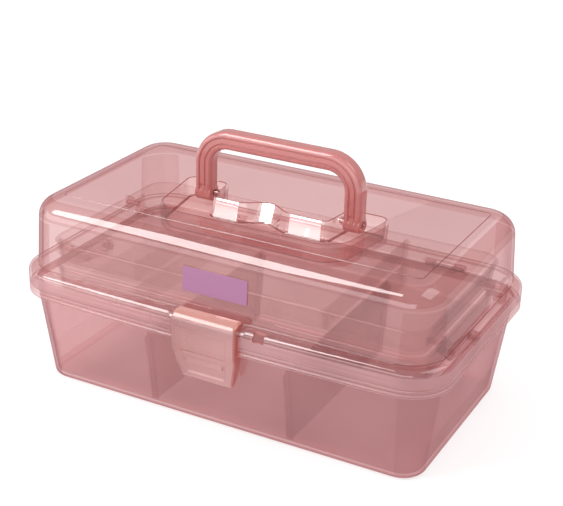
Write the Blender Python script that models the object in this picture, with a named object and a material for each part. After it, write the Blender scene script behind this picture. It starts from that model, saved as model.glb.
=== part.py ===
"""Art supply box: a three-tier moulded plastic case with a hinged lid and two lifting trays.

Metres, +Z up. The origin is at the middle of the underside. X runs along the box, -Y is the
front with the latch, +Y is the hinge side. The lid is closed and the handle stands upright.
Every moving piece has its own origin on the axis that it turns about.
"""

from math import atan2, cos, pi, radians, sin, tan

import bmesh
import bpy
from mathutils import Vector

MM = 0.001
GAP = 0.3 * MM  # air between pieces that touch
CUT_CLEAR = 6 * MM  # how far a cutter runs past the face it opens

# Driving sizes of the case. A half size is measured from the middle plane.
# A plan size is (half length, half depth, corner radius).
RIM = (165 * MM, 93.2 * MM, 29 * MM)
RIM_BOW = 4.2 * MM  # the long sides of the rim swell outwards by this much at mid length
SKIRT = 2 * MM  # thickness of the tub's rim band and of the lid's skirt
WALL_BOW = 1.0 * MM
WALL = 2.2 * MM
TUB_FOOT = (150.5 * MM, 79.5 * MM, 18 * MM)  # the tub's walls just above its floor
TUB_FOOT_Z = 4 * MM
TUB_WALL_TOP = (159.4 * MM, 88.4 * MM, 25 * MM)  # and under its rim
TUB_WALL_TOP_Z = 73.8 * MM
TUB_FLOOR = 2.6 * MM
PART_Z = 76 * MM  # the plane where tub and lid meet
BAND_LOW_Z = 70 * MM
TONGUE_Z = 79.5 * MM
FLANGE_TOP_Z = 90 * MM
LID_WALL_FOOT = (158.9 * MM, 87.3 * MM, 26 * MM)
LID_WALL_FOOT_Z = 92 * MM
LID_WALL_HEAD = (157.0 * MM, 85.3 * MM, 24 * MM)
LID_TOP_Z = 140.5 * MM
LID_CEILING_Z = 138.4 * MM
LID_EDGE_RADIUS = 14.5 * MM
PANEL = (138.6 * MM, 63.2 * MM, 3.2 * MM)
PANEL_RISE = 0.8 * MM

# The hinge line at the back, and the latch line at the front.
HINGE_Y = 97.6 * MM
HINGE_Z = PART_Z
HINGE_MIDDLES = (-95 * MM, 95 * MM)
KNUCKLE_RADIUS = 4.2 * MM
KNUCKLE_GAP = 0.4 * MM
KNUCKLE_HALF = 8 * MM
KNUCKLE_END = 16 * MM
LID_KNUCKLES = ((-KNUCKLE_HALF, KNUCKLE_HALF),)  # spans along X from the middle of a hinge
TUB_KNUCKLES = (
    (-KNUCKLE_END, -KNUCKLE_HALF - KNUCKLE_GAP),
    (KNUCKLE_HALF + KNUCKLE_GAP, KNUCKLE_END),
)
HINGE_PIN_RADIUS = 1.5 * MM
LATCH_Y = -95 * MM
LATCH_Z = 86.2 * MM
LATCH_HALF = 24.6 * MM
LATCH_BARREL = 6.4 * MM
LATCH_PIN_RADIUS = 1.4 * MM
LATCH_FACE_Y = -101.8 * MM
LATCH_FOOT_Z = 43.5 * MM
LATCH_BEND_Z = 70 * MM  # below this the latch leans in
LATCH_TAPER_Z = 64 * MM  # and below this it narrows
LATCH_BAY = 0.6 * MM  # air beside the latch
LUG_END = 29.5 * MM
KEEPER = ((-15 * MM, -92 * MM, 60.5 * MM), (15 * MM, -87 * MM, 66 * MM))
CATCH = ((-14 * MM, -98.6 * MM, 56.4 * MM), (14 * MM, -92.4 * MM, 60 * MM))
PADLOCK_NOTCH = ((36 * MM, -99 * MM, 83.6 * MM), (44.5 * MM, -92.6 * MM, 92 * MM))

# The handle, and the well in the lid that it folds into.
HANDLE_Y = 4 * MM
HANDLE_Z = 137.5 * MM
HANDLE_HALF = 66.6 * MM
HANDLE_BAR = (13.4 * MM, 13 * MM)  # across the bail, and front to back
HANDLE_TOP_Z = 187.4 * MM
HANDLE_CORNER = 27 * MM
HANDLE_PIN_RADIUS = 1.8 * MM
WELL_FLOOR_Z = 126 * MM
WELL_WALL = 2 * MM
WELL_DRAFT = 0.8 * MM  # how far the well's walls lean in from its rim to its floor
TONGUE_HALF = 46 * MM
TONGUE_FRONT_Y = (-11.2 * MM, -14.6 * MM)  # at the well's rim and at its floor
FINGER_NOTCH = (-4 * MM, 21.5 * MM)  # middle and half width of the scoop in the tongue
FINGER_NOTCH_DEPTH = (10 * MM, 7.7 * MM)  # at the well's rim and at its floor
HANDLE_BOSS = (45 * MM, 52.6 * MM)  # where the boss of a handle pin starts and ends

# The trays. Each hangs from one pivot on the lid and one on a support arm at each end.
TRAY = (148 * MM, 74 * MM, 16 * MM)
TRAY_LIP = 1.4 * MM
TRAY_WALL = 1.6 * MM
TRAYS = {  # name: underside, rim height, pivot on the lid (y, z)
    "lower_tray": (65 * MM, 87.2 * MM, (57 * MM, 83 * MM)),
    "upper_tray": (88.2 * MM, 106.5 * MM, (37 * MM, 98.5 * MM)),
}
ARM_SHIFT = (-90 * MM, -5 * MM)  # from a pivot on the lid to its twin on the arm, y and z
ARM_FACES = (149.8 * MM, 152.2 * MM)
ARM_HALF_WIDTH = 5.5 * MM
PIVOT_RADIUS = 1.6 * MM
BOSS_RADIUS = 4.5 * MM
LID_BOSS = (148.7 * MM, 156.7 * MM)  # from its face to its root in the lid's end wall
ARM_BOSS = (ARM_FACES[1] + 0.8 * MM, 158 * MM)
EAR = (153 * MM, 156.5 * MM)
PIN_HEAD = 2.4 * MM
TRAY_DIVIDER_X = 74 * MM

TUB_DIVIDER_X = 55 * MM
TUB_DIVIDER_TOP = 61 * MM
DIVIDER_THICK = 1.8 * MM
GUIDE_THICK = 1.3 * MM
GUIDE_REACH = 2.4 * MM  # how far a divider's guide stands out from the wall
GUIDE_ROOT = 0.6 * MM  # and how far it is sunk into it
DIVIDER_AIR = 0.5 * MM  # between a tub divider's edge and the wall
LABEL_SIZE = (50 * MM, 17.6 * MM, 0.5 * MM)
LABEL_MIDDLE = (1.5 * MM, 112.6 * MM)  # x and height on the lid's front wall

CORNER_STEPS = 6
LONG_STEPS = 8
ROUND_STEPS = 24
PIN_STEPS = 14


def clear_scene():
    """Take away whatever the file opened with."""
    for item in list(bpy.data.objects):
        bpy.data.objects.remove(item)


def plastic(name, colour, roughness=0.2, metallic=0.0, alpha=1.0):
    """A Principled material of one colour."""
    material = bpy.data.materials.new(name)
    material.use_nodes = True
    shader = material.node_tree.nodes["Principled BSDF"]
    shader.inputs["Base Color"].default_value = (*colour, 1.0)
    shader.inputs["Roughness"].default_value = roughness
    shader.inputs["Metallic"].default_value = metallic
    shader.inputs["Alpha"].default_value = alpha
    return material


def add_object(name, mesh_source, material=None, origin=(0, 0, 0)):
    """Make an object from a bmesh in world coordinates, with its own origin."""
    mesh = bpy.data.meshes.new(name)
    bmesh.ops.recalc_face_normals(mesh_source, faces=mesh_source.faces)
    bmesh.ops.translate(mesh_source, verts=mesh_source.verts, vec=-Vector(origin))
    mesh_source.to_mesh(mesh)
    mesh_source.free()
    mesh.shade_smooth()
    mesh.set_sharp_from_angle(angle=radians(32))
    item = bpy.data.objects.new(name, mesh)
    item.location = origin
    bpy.context.collection.objects.link(item)
    if material:
        mesh.materials.append(material)
    return item


def loft(loops):
    """A closed body through loops of equal length, capped at both ends."""
    body = bmesh.new()
    rings = [[body.verts.new(point) for point in loop] for loop in loops]
    for lower, upper in zip(rings, rings[1:]):
        for here in range(len(lower)):
            there = (here + 1) % len(lower)
            body.faces.new((lower[here], lower[there], upper[there], upper[here]))
    body.faces.new(list(reversed(rings[0])))
    body.faces.new(rings[-1])
    return body


def merge(bodies):
    """One bmesh that holds several separate closed bodies."""
    whole = bmesh.new()
    for body in bodies:
        part = bpy.data.meshes.new("part")
        body.to_mesh(part)
        body.free()
        whole.from_mesh(part)
        bpy.data.meshes.remove(part)
    return whole


def box(low, high):
    """An upright box between two corners."""
    plan = ((low[0], low[1]), (high[0], low[1]), (high[0], high[1]), (low[0], high[1]))
    return loft([[(x, y, z) for x, y in plan] for z in (low[2], high[2])])


def rod(start_x, end_x, y, z, radius, steps=ROUND_STEPS):
    """A cylinder along X."""
    turns = [2 * pi * step / steps for step in range(steps)]
    return loft([
        [(x, y + radius * cos(turn), z + radius * sin(turn)) for turn in turns]
        for x in (start_x, end_x)
    ])


def pair_of_rods(ends, y, z, radius, steps=ROUND_STEPS):
    """The same cylinder at the left and the right end of the box; ends are given for the right."""
    start, end = ends
    return [
        rod(*sorted((side * start, side * end)), y, z, radius, steps)
        for side in (-1, 1)
    ]


def combine(target, body, operation, name):
    """Cut a hidden body from the target, or join it on."""
    tool = add_object(name, body)
    tool.hide_render = True
    tool.display_type = "WIRE"
    modifier = target.modifiers.new(name, "BOOLEAN")
    modifier.operation = operation
    modifier.solver = "EXACT"
    modifier.object = tool


def rounded_loop(half_x, half_y, corner, z, bow=0.0):
    """A rounded rectangle whose long sides swell outwards by bow at mid length."""
    points = []
    middles = ((1, 1), (-1, 1), (-1, -1), (1, -1))
    for quarter, (side_x, side_y) in enumerate(middles):
        centre = (side_x * (half_x - corner), side_y * (half_y - corner))
        for step in range(CORNER_STEPS + 1):
            turn = pi / 2 * (quarter + step / CORNER_STEPS)
            points.append((centre[0] + corner * cos(turn), centre[1] + corner * sin(turn)))
        if side_x == side_y:
            run = half_x - corner
            for step in range(1, LONG_STEPS):
                points.append((side_x * run * (1 - 2 * step / LONG_STEPS), side_y * half_y))
    return [
        (x, y + bow * (1 - (x / half_x) ** 2) * y / half_y, z)
        for x, y in points
    ]


def ring(size, inset, z, bow=0.0):
    """A rounded loop of a plan size, drawn in by inset."""
    return rounded_loop(*(value - inset for value in size), z, bow)


def rounded_outline(corners, step_degrees=18):
    """The corners (x, y, radius) as a closed outline, each with an arc of its radius."""
    outline = []
    for index, (x, y, radius) in enumerate(corners):
        here = Vector((x, y))
        back = (Vector(corners[index - 1][:2]) - here).normalized()
        ahead = (Vector(corners[(index + 1) % len(corners)][:2]) - here).normalized()
        half_angle = back.angle(ahead) / 2
        bend = pi - 2 * half_angle
        if radius == 0 or bend < radians(1):
            outline.append((x, y))
            continue
        centre = here + (back + ahead).normalized() * radius / sin(half_angle)
        first = here + back * radius / tan(half_angle) - centre
        side = 1 if ahead.cross(back) > 0 else -1
        start = atan2(first.y, first.x)
        count = max(2, round(bend / radians(step_degrees)))
        for step in range(count + 1):
            turn = start + side * bend * step / count
            outline.append((centre.x + radius * cos(turn), centre.y + radius * sin(turn)))
    return outline


def grown(outline, distance):
    """The outline moved outwards along its own normals; the outline runs anticlockwise."""
    moved = []
    for index, (x, y) in enumerate(outline):
        before = Vector(outline[index - 1])
        after = Vector(outline[(index + 1) % len(outline)])
        along = (after - before).normalized()
        moved.append((x + along.y * distance, y - along.x * distance))
    return moved


# ---------------------------------------------------------------- tub


def tub_loops():
    """From the underside up the outside, over the rim and down the inside."""
    inner_top = tuple(value - WALL for value in TUB_WALL_TOP)
    inner_foot = tuple(value - WALL for value in TUB_FOOT)
    foot_bend = 1.2 * MM
    floor_bend = 2 * MM
    return [
        ring(TUB_FOOT, TUB_FOOT_Z, 0),
        ring(TUB_FOOT, foot_bend, foot_bend),
        ring(TUB_FOOT, 0, TUB_FOOT_Z),
        ring(TUB_WALL_TOP, 0, TUB_WALL_TOP_Z, WALL_BOW),
        ring(RIM, SKIRT, TUB_WALL_TOP_Z, RIM_BOW),
        ring(RIM, SKIRT, BAND_LOW_Z, RIM_BOW),
        ring(RIM, 0, BAND_LOW_Z, RIM_BOW),
        ring(RIM, 0, PART_Z, RIM_BOW),
        ring(TUB_WALL_TOP, 0, PART_Z, WALL_BOW),
        ring(TUB_WALL_TOP, 0, TONGUE_Z, WALL_BOW),
        ring(inner_top, 0, TONGUE_Z, WALL_BOW),
        ring(inner_top, 0, TUB_WALL_TOP_Z, WALL_BOW),
        ring(inner_foot, 0, TUB_FLOOR + floor_bend),
        ring(inner_foot, floor_bend, TUB_FLOOR),
    ]


def tub_wall_inside(z):
    """Half depth of the tub's inside at a height, on its long walls."""
    foot_y = TUB_FOOT[1] - WALL
    slope = (TUB_WALL_TOP[1] - TUB_FOOT[1]) / (TUB_WALL_TOP_Z - TUB_FOOT_Z)
    return foot_y + (z - TUB_FLOOR - 2 * MM) * slope


def divider_guides(middle_x, levels):
    """Ribs on both long walls that hold a divider upright; levels holds (z, depth of the wall)."""
    guides = []
    near = DIVIDER_THICK / 2 + GAP
    far = near + GUIDE_THICK
    for side in (-1, 1):
        for flank in (-1, 1):
            edges = (middle_x + flank * near, middle_x + flank * far)
            loops = []
            for z, depth in levels:
                root = side * (depth + GUIDE_ROOT)
                tip = side * (depth - GUIDE_REACH)
                loops.append([(x, y, z) for x, y in (
                    (edges[0], root), (edges[1], root), (edges[1], tip), (edges[0], tip),
                )])
            guides.append(loft(loops))
    return guides


def hinge_rods(spans, radius, margin=0.0, steps=ROUND_STEPS):
    """Cylinders on the hinge line, one for each span of each hinge, longer by margin at both ends."""
    return [
        rod(middle + start - margin, middle + end + margin, HINGE_Y, HINGE_Z, radius, steps)
        for middle in HINGE_MIDDLES
        for start, end in spans
    ]


def hinge_pin_holes():
    """The bore of each hinge, from end to end."""
    spans = ((-KNUCKLE_END, KNUCKLE_END),)
    return hinge_rods(spans, HINGE_PIN_RADIUS + GAP, CUT_CLEAR, PIN_STEPS)


def arm_pivot():
    """Where a support arm turns on the tub, y and z."""
    return HINGE_Y + ARM_SHIFT[0], HINGE_Z + ARM_SHIFT[1]


def make_tub(material):
    """The tub with its rim band, hinge knuckles, arm bosses, divider guides and keeper."""
    tub = add_object("base_tub", loft(tub_loops()), material)
    clearances = hinge_rods(LID_KNUCKLES, KNUCKLE_RADIUS + KNUCKLE_GAP, KNUCKLE_GAP)
    knuckles = hinge_rods(TUB_KNUCKLES, KNUCKLE_RADIUS)
    heights = (TUB_FLOOR - 1 * MM, TUB_DIVIDER_TOP - 4 * MM)
    levels = [(z, tub_wall_inside(z)) for z in heights]
    guides = divider_guides(-TUB_DIVIDER_X, levels) + divider_guides(TUB_DIVIDER_X, levels)
    bosses = pair_of_rods(ARM_BOSS, *arm_pivot(), 5 * MM)
    hole_ends = (ARM_FACES[0], 156.6 * MM)
    boss_holes = pair_of_rods(hole_ends, *arm_pivot(), PIVOT_RADIUS + GAP, PIN_STEPS)
    latch_bay = box(
        (-LATCH_HALF - LATCH_BAY, -103 * MM, BAND_LOW_Z - 1 * MM),
        (LATCH_HALF + LATCH_BAY, -90 * MM, PART_Z + 1 * MM),
    )
    combine(tub, merge(clearances + [latch_bay]), "DIFFERENCE", "tub_clearances")
    combine(tub, merge(knuckles), "UNION", "tub_knuckles")
    combine(tub, merge(guides + bosses + [box(*KEEPER)]), "UNION", "tub_fittings")
    combine(tub, merge(hinge_pin_holes() + boss_holes), "DIFFERENCE", "tub_holes")


def make_tub_divider(name, middle_x, material):
    """A loose plate that stands between its guides and follows the tub's sloping walls."""
    half = DIVIDER_THICK / 2
    foot_z = TUB_FLOOR + GAP
    chamfer = 2.6 * MM
    loops = []
    for z in (foot_z, foot_z + 3 * MM, TUB_DIVIDER_TOP):
        depth = tub_wall_inside(z) - DIVIDER_AIR
        if z == foot_z:
            depth -= chamfer
        plan = ((-half, -depth), (half, -depth), (half, depth), (-half, depth))
        loops.append([(middle_x + x, y, z) for x, y in plan])
    add_object(name, loft(loops), material)


# ---------------------------------------------------------------- lid


def lid_loops():
    """From the ceiling down the inside, round the skirt's foot, up the outside and over the top."""
    inner_radius = LID_EDGE_RADIUS - WALL
    foot_z = PART_Z + GAP
    loops = []
    for step in range(4, -1, -1):
        turn = pi / 2 * step / 4
        inset = WALL + inner_radius * (1 - cos(turn))
        z = LID_CEILING_Z - inner_radius * (1 - sin(turn))
        loops.append(ring(LID_WALL_HEAD, inset, z, WALL_BOW))
    loops += [
        ring(LID_WALL_FOOT, WALL, FLANGE_TOP_Z - 2 * MM, WALL_BOW),
        ring(RIM, SKIRT, FLANGE_TOP_Z - 2.1 * MM, RIM_BOW),
        ring(RIM, SKIRT, foot_z, RIM_BOW),
        ring(RIM, 0, foot_z, RIM_BOW),
        ring(RIM, 0, FLANGE_TOP_Z - 4 * MM, RIM_BOW),
        ring(RIM, 1 * MM, FLANGE_TOP_Z - 1.2 * MM, RIM_BOW),
        ring(RIM, 3.4 * MM, FLANGE_TOP_Z, RIM_BOW),
        ring(LID_WALL_FOOT, -0.4 * MM, FLANGE_TOP_Z + 0.4 * MM, WALL_BOW),
        ring(LID_WALL_FOOT, 0, LID_WALL_FOOT_Z, WALL_BOW),
    ]
    for step in range(6):
        turn = pi / 2 * step / 5
        inset = LID_EDGE_RADIUS * (1 - cos(turn))
        z = LID_TOP_Z - LID_EDGE_RADIUS * (1 - sin(turn))
        loops.append(ring(LID_WALL_HEAD, inset, z, WALL_BOW))
    loops.append(ring(PANEL, -0.8 * MM, LID_TOP_Z))
    loops.append(ring(PANEL, 0, LID_TOP_Z + PANEL_RISE))
    return loops


def well_outline(depth):
    """The handle well in plan; depth runs from 0 at the lid's top to 1 at the well's floor."""
    draft = WELL_DRAFT * depth
    front = -47.6 * MM + draft
    back = 17.5 * MM - draft
    tongue_y = TONGUE_FRONT_Y[0] + (TONGUE_FRONT_Y[1] - TONGUE_FRONT_Y[0]) * depth
    notch_middle, notch_half = FINGER_NOTCH
    notch_depth = FINGER_NOTCH_DEPTH[0] + (FINGER_NOTCH_DEPTH[1] - FINGER_NOTCH_DEPTH[0]) * depth
    right = [
        (60 * MM, front, 14 * MM),
        (73 * MM - draft, -36 * MM, 12 * MM),
        (81 * MM - draft, back, 6 * MM),
        (50 * MM + draft, back, 4.5 * MM),
        (TONGUE_HALF + draft, tongue_y, 5 * MM),
    ]
    scoop = []
    count = 8
    for step in range(count + 1):
        away = notch_half * (1 - 2 * step / count)
        rise = notch_depth * (1 + cos(pi * away / notch_half)) / 2
        scoop.append((notch_middle + away, tongue_y + rise, 0))
    left = [(-x, y, radius) for x, y, radius in reversed(right)]
    return rounded_outline(right + scoop + left)


def make_lid(material):
    """The lid with its handle well, latch lugs, hinge knuckles and tray bosses."""
    lid = add_object("lid_shell", loft(lid_loops()), material, (0, HINGE_Y, HINGE_Z))

    tub_of_well = [
        [(x, y, z) for x, y in grown(well_outline(depth), WELL_WALL)]
        for depth, z in ((0, LID_TOP_Z - 1.2 * MM), (1, WELL_FLOOR_Z - WELL_WALL))
    ]
    cavity = [
        [(x, y, z) for x, y in well_outline(depth)]
        for depth, z in ((0, LID_TOP_Z + CUT_CLEAR), (0, LID_TOP_Z), (1, WELL_FLOOR_Z))
    ]

    bay_half = LATCH_HALF + LATCH_BAY
    latch_bay = box((-bay_half, -104 * MM, PART_Z - 1 * MM), (bay_half, -88.35 * MM, 91.4 * MM))
    lugs = []
    for side in (-1, 1):
        low_x, high_x = sorted((side * bay_half, side * LUG_END))
        lugs.append(box((low_x, -96.4 * MM, 81 * MM), (high_x, -88 * MM, 89.2 * MM)))

    knuckles = hinge_rods(LID_KNUCKLES, KNUCKLE_RADIUS)
    clearances = hinge_rods(TUB_KNUCKLES, KNUCKLE_RADIUS + KNUCKLE_GAP, KNUCKLE_GAP)

    bosses = pair_of_rods(HANDLE_BOSS, HANDLE_Y, HANDLE_Z, 3 * MM)
    hole_ends = (49 * MM, 60 * MM)
    holes = pair_of_rods(hole_ends, HANDLE_Y, HANDLE_Z, HANDLE_PIN_RADIUS + GAP, PIN_STEPS)
    ears = []  # straps that carry a boss below the flange, inside the tub's rim
    for _, _, (y, z) in TRAYS.values():
        bosses += pair_of_rods(LID_BOSS, y, z, BOSS_RADIUS)
        hole_ends = (LID_BOSS[0] - 2 * MM, LID_BOSS[1] - 2.7 * MM)
        holes += pair_of_rods(hole_ends, y, z, PIVOT_RADIUS + GAP, PIN_STEPS)
        if z > FLANGE_TOP_Z:
            continue
        for side in (-1, 1):
            low_x, high_x = sorted((side * EAR[0], side * EAR[1]))
            low = (low_x, y - BOSS_RADIUS, z - BOSS_RADIUS)
            ears.append(box(low, (high_x, y + BOSS_RADIUS, FLANGE_TOP_Z + 6 * MM)))
    lug_end = LUG_END - 0.5 * MM
    holes.append(rod(-lug_end, lug_end, LATCH_Y, LATCH_Z, LATCH_PIN_RADIUS + GAP, PIN_STEPS))

    combine(lid, loft(tub_of_well), "UNION", "well_tub")
    combine(lid, loft(cavity), "DIFFERENCE", "well_cavity")
    combine(lid, merge(clearances + [latch_bay, box(*PADLOCK_NOTCH)]), "DIFFERENCE", "lid_clearances")
    combine(lid, merge(lugs + knuckles + ears), "UNION", "lid_fittings")
    combine(lid, merge(bosses), "UNION", "lid_bosses")
    combine(lid, merge(hinge_pin_holes() + holes), "DIFFERENCE", "lid_holes")


def make_label(material):
    """A blank label on the lid's front wall, tilted with the wall; it turns with the lid."""
    width, height, thick = LABEL_SIZE
    middle_x, middle_z = LABEL_MIDDLE
    wall_height = LID_TOP_Z - LID_EDGE_RADIUS - LID_WALL_FOOT_Z
    slope = atan2(LID_WALL_FOOT[1] - LID_WALL_HEAD[1], wall_height)
    wall_y = (middle_z - LID_WALL_FOOT_Z) * tan(slope) - LID_WALL_FOOT[1] - WALL_BOW
    outline = rounded_outline([
        (width / 2, -height / 2, 1 * MM),
        (width / 2, height / 2, 1 * MM),
        (-width / 2, height / 2, 1 * MM),
        (-width / 2, -height / 2, 1 * MM),
    ], 30)
    loops = []
    for depth in (-GAP - thick, -GAP - 0.1 * MM):
        loops.append([
            (middle_x + x, wall_y + depth * cos(slope) + z * sin(slope), middle_z + z * cos(slope))
            for x, z in outline
        ])
    add_object("front_label", loft(loops), material, (0, HINGE_Y, HINGE_Z))


# ---------------------------------------------------------------- handle


def bail_stations():
    """Points along the middle of the bail, each with the direction across it, in x and z."""
    half_bar = HANDLE_BAR[0] / 2
    side_x = HANDLE_HALF - half_bar
    top_z = HANDLE_TOP_Z - half_bar
    radius = HANDLE_CORNER - half_bar
    stations = [((-side_x, HANDLE_Z), (-1, 0))]
    for corner_x, start in ((-side_x + radius, pi), (side_x - radius, pi / 2)):
        for step in range(8):
            turn = start - pi / 2 * step / 7
            across = (cos(turn), sin(turn))
            middle = (corner_x + radius * across[0], top_z - radius + radius * across[1])
            stations.append((middle, across))
    stations.append(((side_x, HANDLE_Z), (1, 0)))
    return stations


def make_handle(material):
    """The carrying bail, with round feet that turn on their pins."""
    width, depth = HANDLE_BAR
    corner = 3.6 * MM
    section = rounded_outline([
        (width / 2, -depth / 2, corner),
        (width / 2, depth / 2, corner),
        (-width / 2, depth / 2, corner),
        (-width / 2, -depth / 2, corner),
    ], 30)
    loops = [
        [(x + u * across[0], HANDLE_Y + v, z + u * across[1]) for u, v in section]
        for (x, z), across in bail_stations()
    ]
    handle = add_object("handle", loft(loops), material, (0, HANDLE_Y, HANDLE_Z))
    feet = []
    holes = []
    for side in (-1, 1):
        faces = sorted((side * (HANDLE_HALF - width), side * HANDLE_HALF))
        feet.append(rod(faces[0] + 0.2 * MM, faces[1] - 0.2 * MM, HANDLE_Y, HANDLE_Z, depth / 2))
        ends = (faces[0] - CUT_CLEAR, faces[1] + CUT_CLEAR)
        holes.append(rod(*ends, HANDLE_Y, HANDLE_Z, HANDLE_PIN_RADIUS + GAP, PIN_STEPS))
    combine(handle, merge(feet), "UNION", "handle_feet")
    combine(handle, merge(holes), "DIFFERENCE", "handle_pin_holes")


# ---------------------------------------------------------------- latch


def latch_station(z):
    """Half width and face depth of the latch at a height: it narrows and leans in below the rim."""
    lean = max(0.0, (LATCH_BEND_Z - z) / (LATCH_BEND_Z - LATCH_FOOT_Z))
    narrow = max(0.0, (LATCH_TAPER_Z - z) / (LATCH_TAPER_Z - LATCH_FOOT_Z))
    return LATCH_HALF - 5 * MM * narrow, LATCH_FACE_Y + 6 * MM * lean


def make_latch(material):
    """The latch: a barrel on the pin, a face plate, two side flanges and the catch."""
    plate_thick = 2.6 * MM
    flange_thick = 2 * MM
    heights = (LATCH_FOOT_Z, LATCH_TAPER_Z, LATCH_BEND_Z, LATCH_Z - 0.2 * MM)
    plate = []
    flanges = {-1: [], 1: []}
    for z in heights:
        half, face = latch_station(z)
        plan = ((-half, face), (half, face), (half, face + plate_thick), (-half, face + plate_thick))
        plate.append([(x, y, z) for x, y in plan])
        back = max(face + 8.4 * MM, -91.6 * MM)
        for side, loops in flanges.items():
            edges = sorted((side * (half - 0.1 * MM), side * (half - flange_thick)))
            front = face + 0.6 * MM
            plan = ((edges[0], front), (edges[1], front), (edges[1], back), (edges[0], back))
            loops.append([(x, y, z + (0.2 * MM if z == LATCH_FOOT_Z else 0)) for x, y in plan])
    latch = add_object("latch", loft(plate), material, (0, LATCH_Y, LATCH_Z))
    barrel_end = LATCH_HALF - 0.05 * MM
    barrel = rod(-barrel_end, barrel_end, LATCH_Y, LATCH_Z, LATCH_BARREL)
    hole = rod(-LUG_END, LUG_END, LATCH_Y, LATCH_Z, LATCH_PIN_RADIUS + GAP, PIN_STEPS)
    combine(latch, merge([loft(loops) for loops in flanges.values()]), "UNION", "latch_flanges")
    combine(latch, merge([barrel, box(*CATCH)]), "UNION", "latch_barrel")
    combine(latch, hole, "DIFFERENCE", "latch_hole")


# ---------------------------------------------------------------- trays


def make_tray(name, material):
    """A shallow tray with a turned-out rim, divider guides and four pivot holes."""
    foot_z, rim_z, pivot = TRAYS[name]
    wall = tuple(size - 1.5 * MM for size in TRAY)
    foot = tuple(size - 3.6 * MM for size in TRAY)
    floor_z = foot_z + TRAY_WALL
    loops = [
        ring(foot, 1.6 * MM, foot_z),
        ring(foot, 0, foot_z + 2 * MM),
        ring(wall, 0, rim_z - TRAY_LIP),
        ring(TRAY, 0, rim_z - TRAY_LIP),
        ring(TRAY, 0, rim_z),
        ring(wall, TRAY_WALL, rim_z),
        ring(foot, TRAY_WALL, floor_z + 1.6 * MM),
        ring(foot, 3 * MM, floor_z),
    ]
    tray = add_object(name, loft(loops), material, (0, *pivot))

    levels = (
        (floor_z - 0.6 * MM, foot[1] - TRAY_WALL - 0.2 * MM),
        (rim_z - 3 * MM, wall[1] - TRAY_WALL - 0.2 * MM),
    )
    guides = divider_guides(-TRAY_DIVIDER_X, levels) + divider_guides(TRAY_DIVIDER_X, levels)
    holes = []
    for shift_y, shift_z in ((0, 0), ARM_SHIFT):
        place = (pivot[0] + shift_y, pivot[1] + shift_z)
        holes += pair_of_rods((TRAY[0] - 8 * MM, TRAY[0] + 2 * MM), *place, PIVOT_RADIUS + GAP, PIN_STEPS)
    combine(tray, merge(guides), "UNION", name + "_guides")
    combine(tray, merge(holes), "DIFFERENCE", name + "_holes")


def make_tray_divider(name, tray, middle_x, material):
    """A loose plate across a tray, between its guides."""
    foot_z, rim_z, pivot = TRAYS[tray]
    half = DIVIDER_THICK / 2
    low_z = foot_z + TRAY_WALL + GAP
    low_depth = TRAY[1] - 6.8 * MM
    levels = (
        (low_z, low_depth),
        (low_z + 2 * MM, low_depth + 1.4 * MM),
        (rim_z - 2 * MM, TRAY[1] - 3.6 * MM),
    )
    loops = []
    for z, depth in levels:
        plan = ((-half, -depth), (half, -depth), (half, depth), (-half, depth))
        loops.append([(middle_x + x, y, z) for x, y in plan])
    add_object(name, loft(loops), material, (middle_x, *pivot))


def strap_outline(points, half_width):
    """A strap of constant width along points: rounded ends, and one bend at each middle point."""
    path = [Vector(point) for point in points]
    ends = []
    for here, ahead in ((path[0], path[1]), (path[-1], path[-2])):
        away = (here - ahead).normalized()
        start = atan2(away.y, away.x) - pi / 2
        turns = [start + pi * step / 10 for step in range(11)]
        ends.append([(here.x + half_width * cos(turn), here.y + half_width * sin(turn)) for turn in turns])
    bends = {1: [], -1: []}
    for before, here, after in zip(path, path[1:], path[2:]):
        first = (here - before).normalized()
        second = (after - here).normalized()
        mitre = (Vector((-first.y, first.x)) + Vector((-second.y, second.x))).normalized()
        reach = half_width / mitre.dot(Vector((-first.y, first.x)))
        for side in (1, -1):
            bends[side].append(tuple(here + mitre * reach * side))
    return ends[0] + bends[-1] + ends[1] + bends[1]


def make_arm(name, side, material):
    """A cranked arm from its pivot on the tub to one pivot on each tray."""
    pivots = [arm_pivot()]
    for tray in ("lower_tray", "upper_tray"):
        y, z = TRAYS[tray][2]
        pivots.append((y + ARM_SHIFT[0], z + ARM_SHIFT[1]))
    outline = strap_outline(pivots, ARM_HALF_WIDTH)
    loops = [[(side * x, y, z) for y, z in outline] for x in ARM_FACES]
    arm = add_object(name, loft(loops), material, (0, *pivots[0]))
    ends = sorted((side * (ARM_FACES[0] - 3 * MM), side * (ARM_FACES[1] + 3 * MM)))
    holes = [rod(*ends, y, z, PIVOT_RADIUS + GAP, PIN_STEPS) for y, z in pivots]
    combine(arm, merge(holes), "DIFFERENCE", name + "_holes")


# ---------------------------------------------------------------- pins


def make_pin(name, start_x, end_x, y, z, radius, material, head=0.0):
    """A turned pin along X, with a flat head of its own thickness at the start if head is given."""
    steps = PIN_STEPS
    toward = 1 if end_x > start_x else -1
    profile = [(start_x, radius), (end_x, radius)]
    if head:
        thick = 1.1 * MM
        profile = [
            (start_x, head),
            (start_x + toward * thick, head),
            (start_x + toward * thick, radius),
            (end_x, radius),
        ]
    turns = [2 * pi * step / steps for step in range(steps)]
    loops = [
        [(x, y + size * cos(turn), z + size * sin(turn)) for turn in turns]
        for x, size in profile
    ]
    add_object(name, loft(loops), material, (start_x, y, z))


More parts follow.
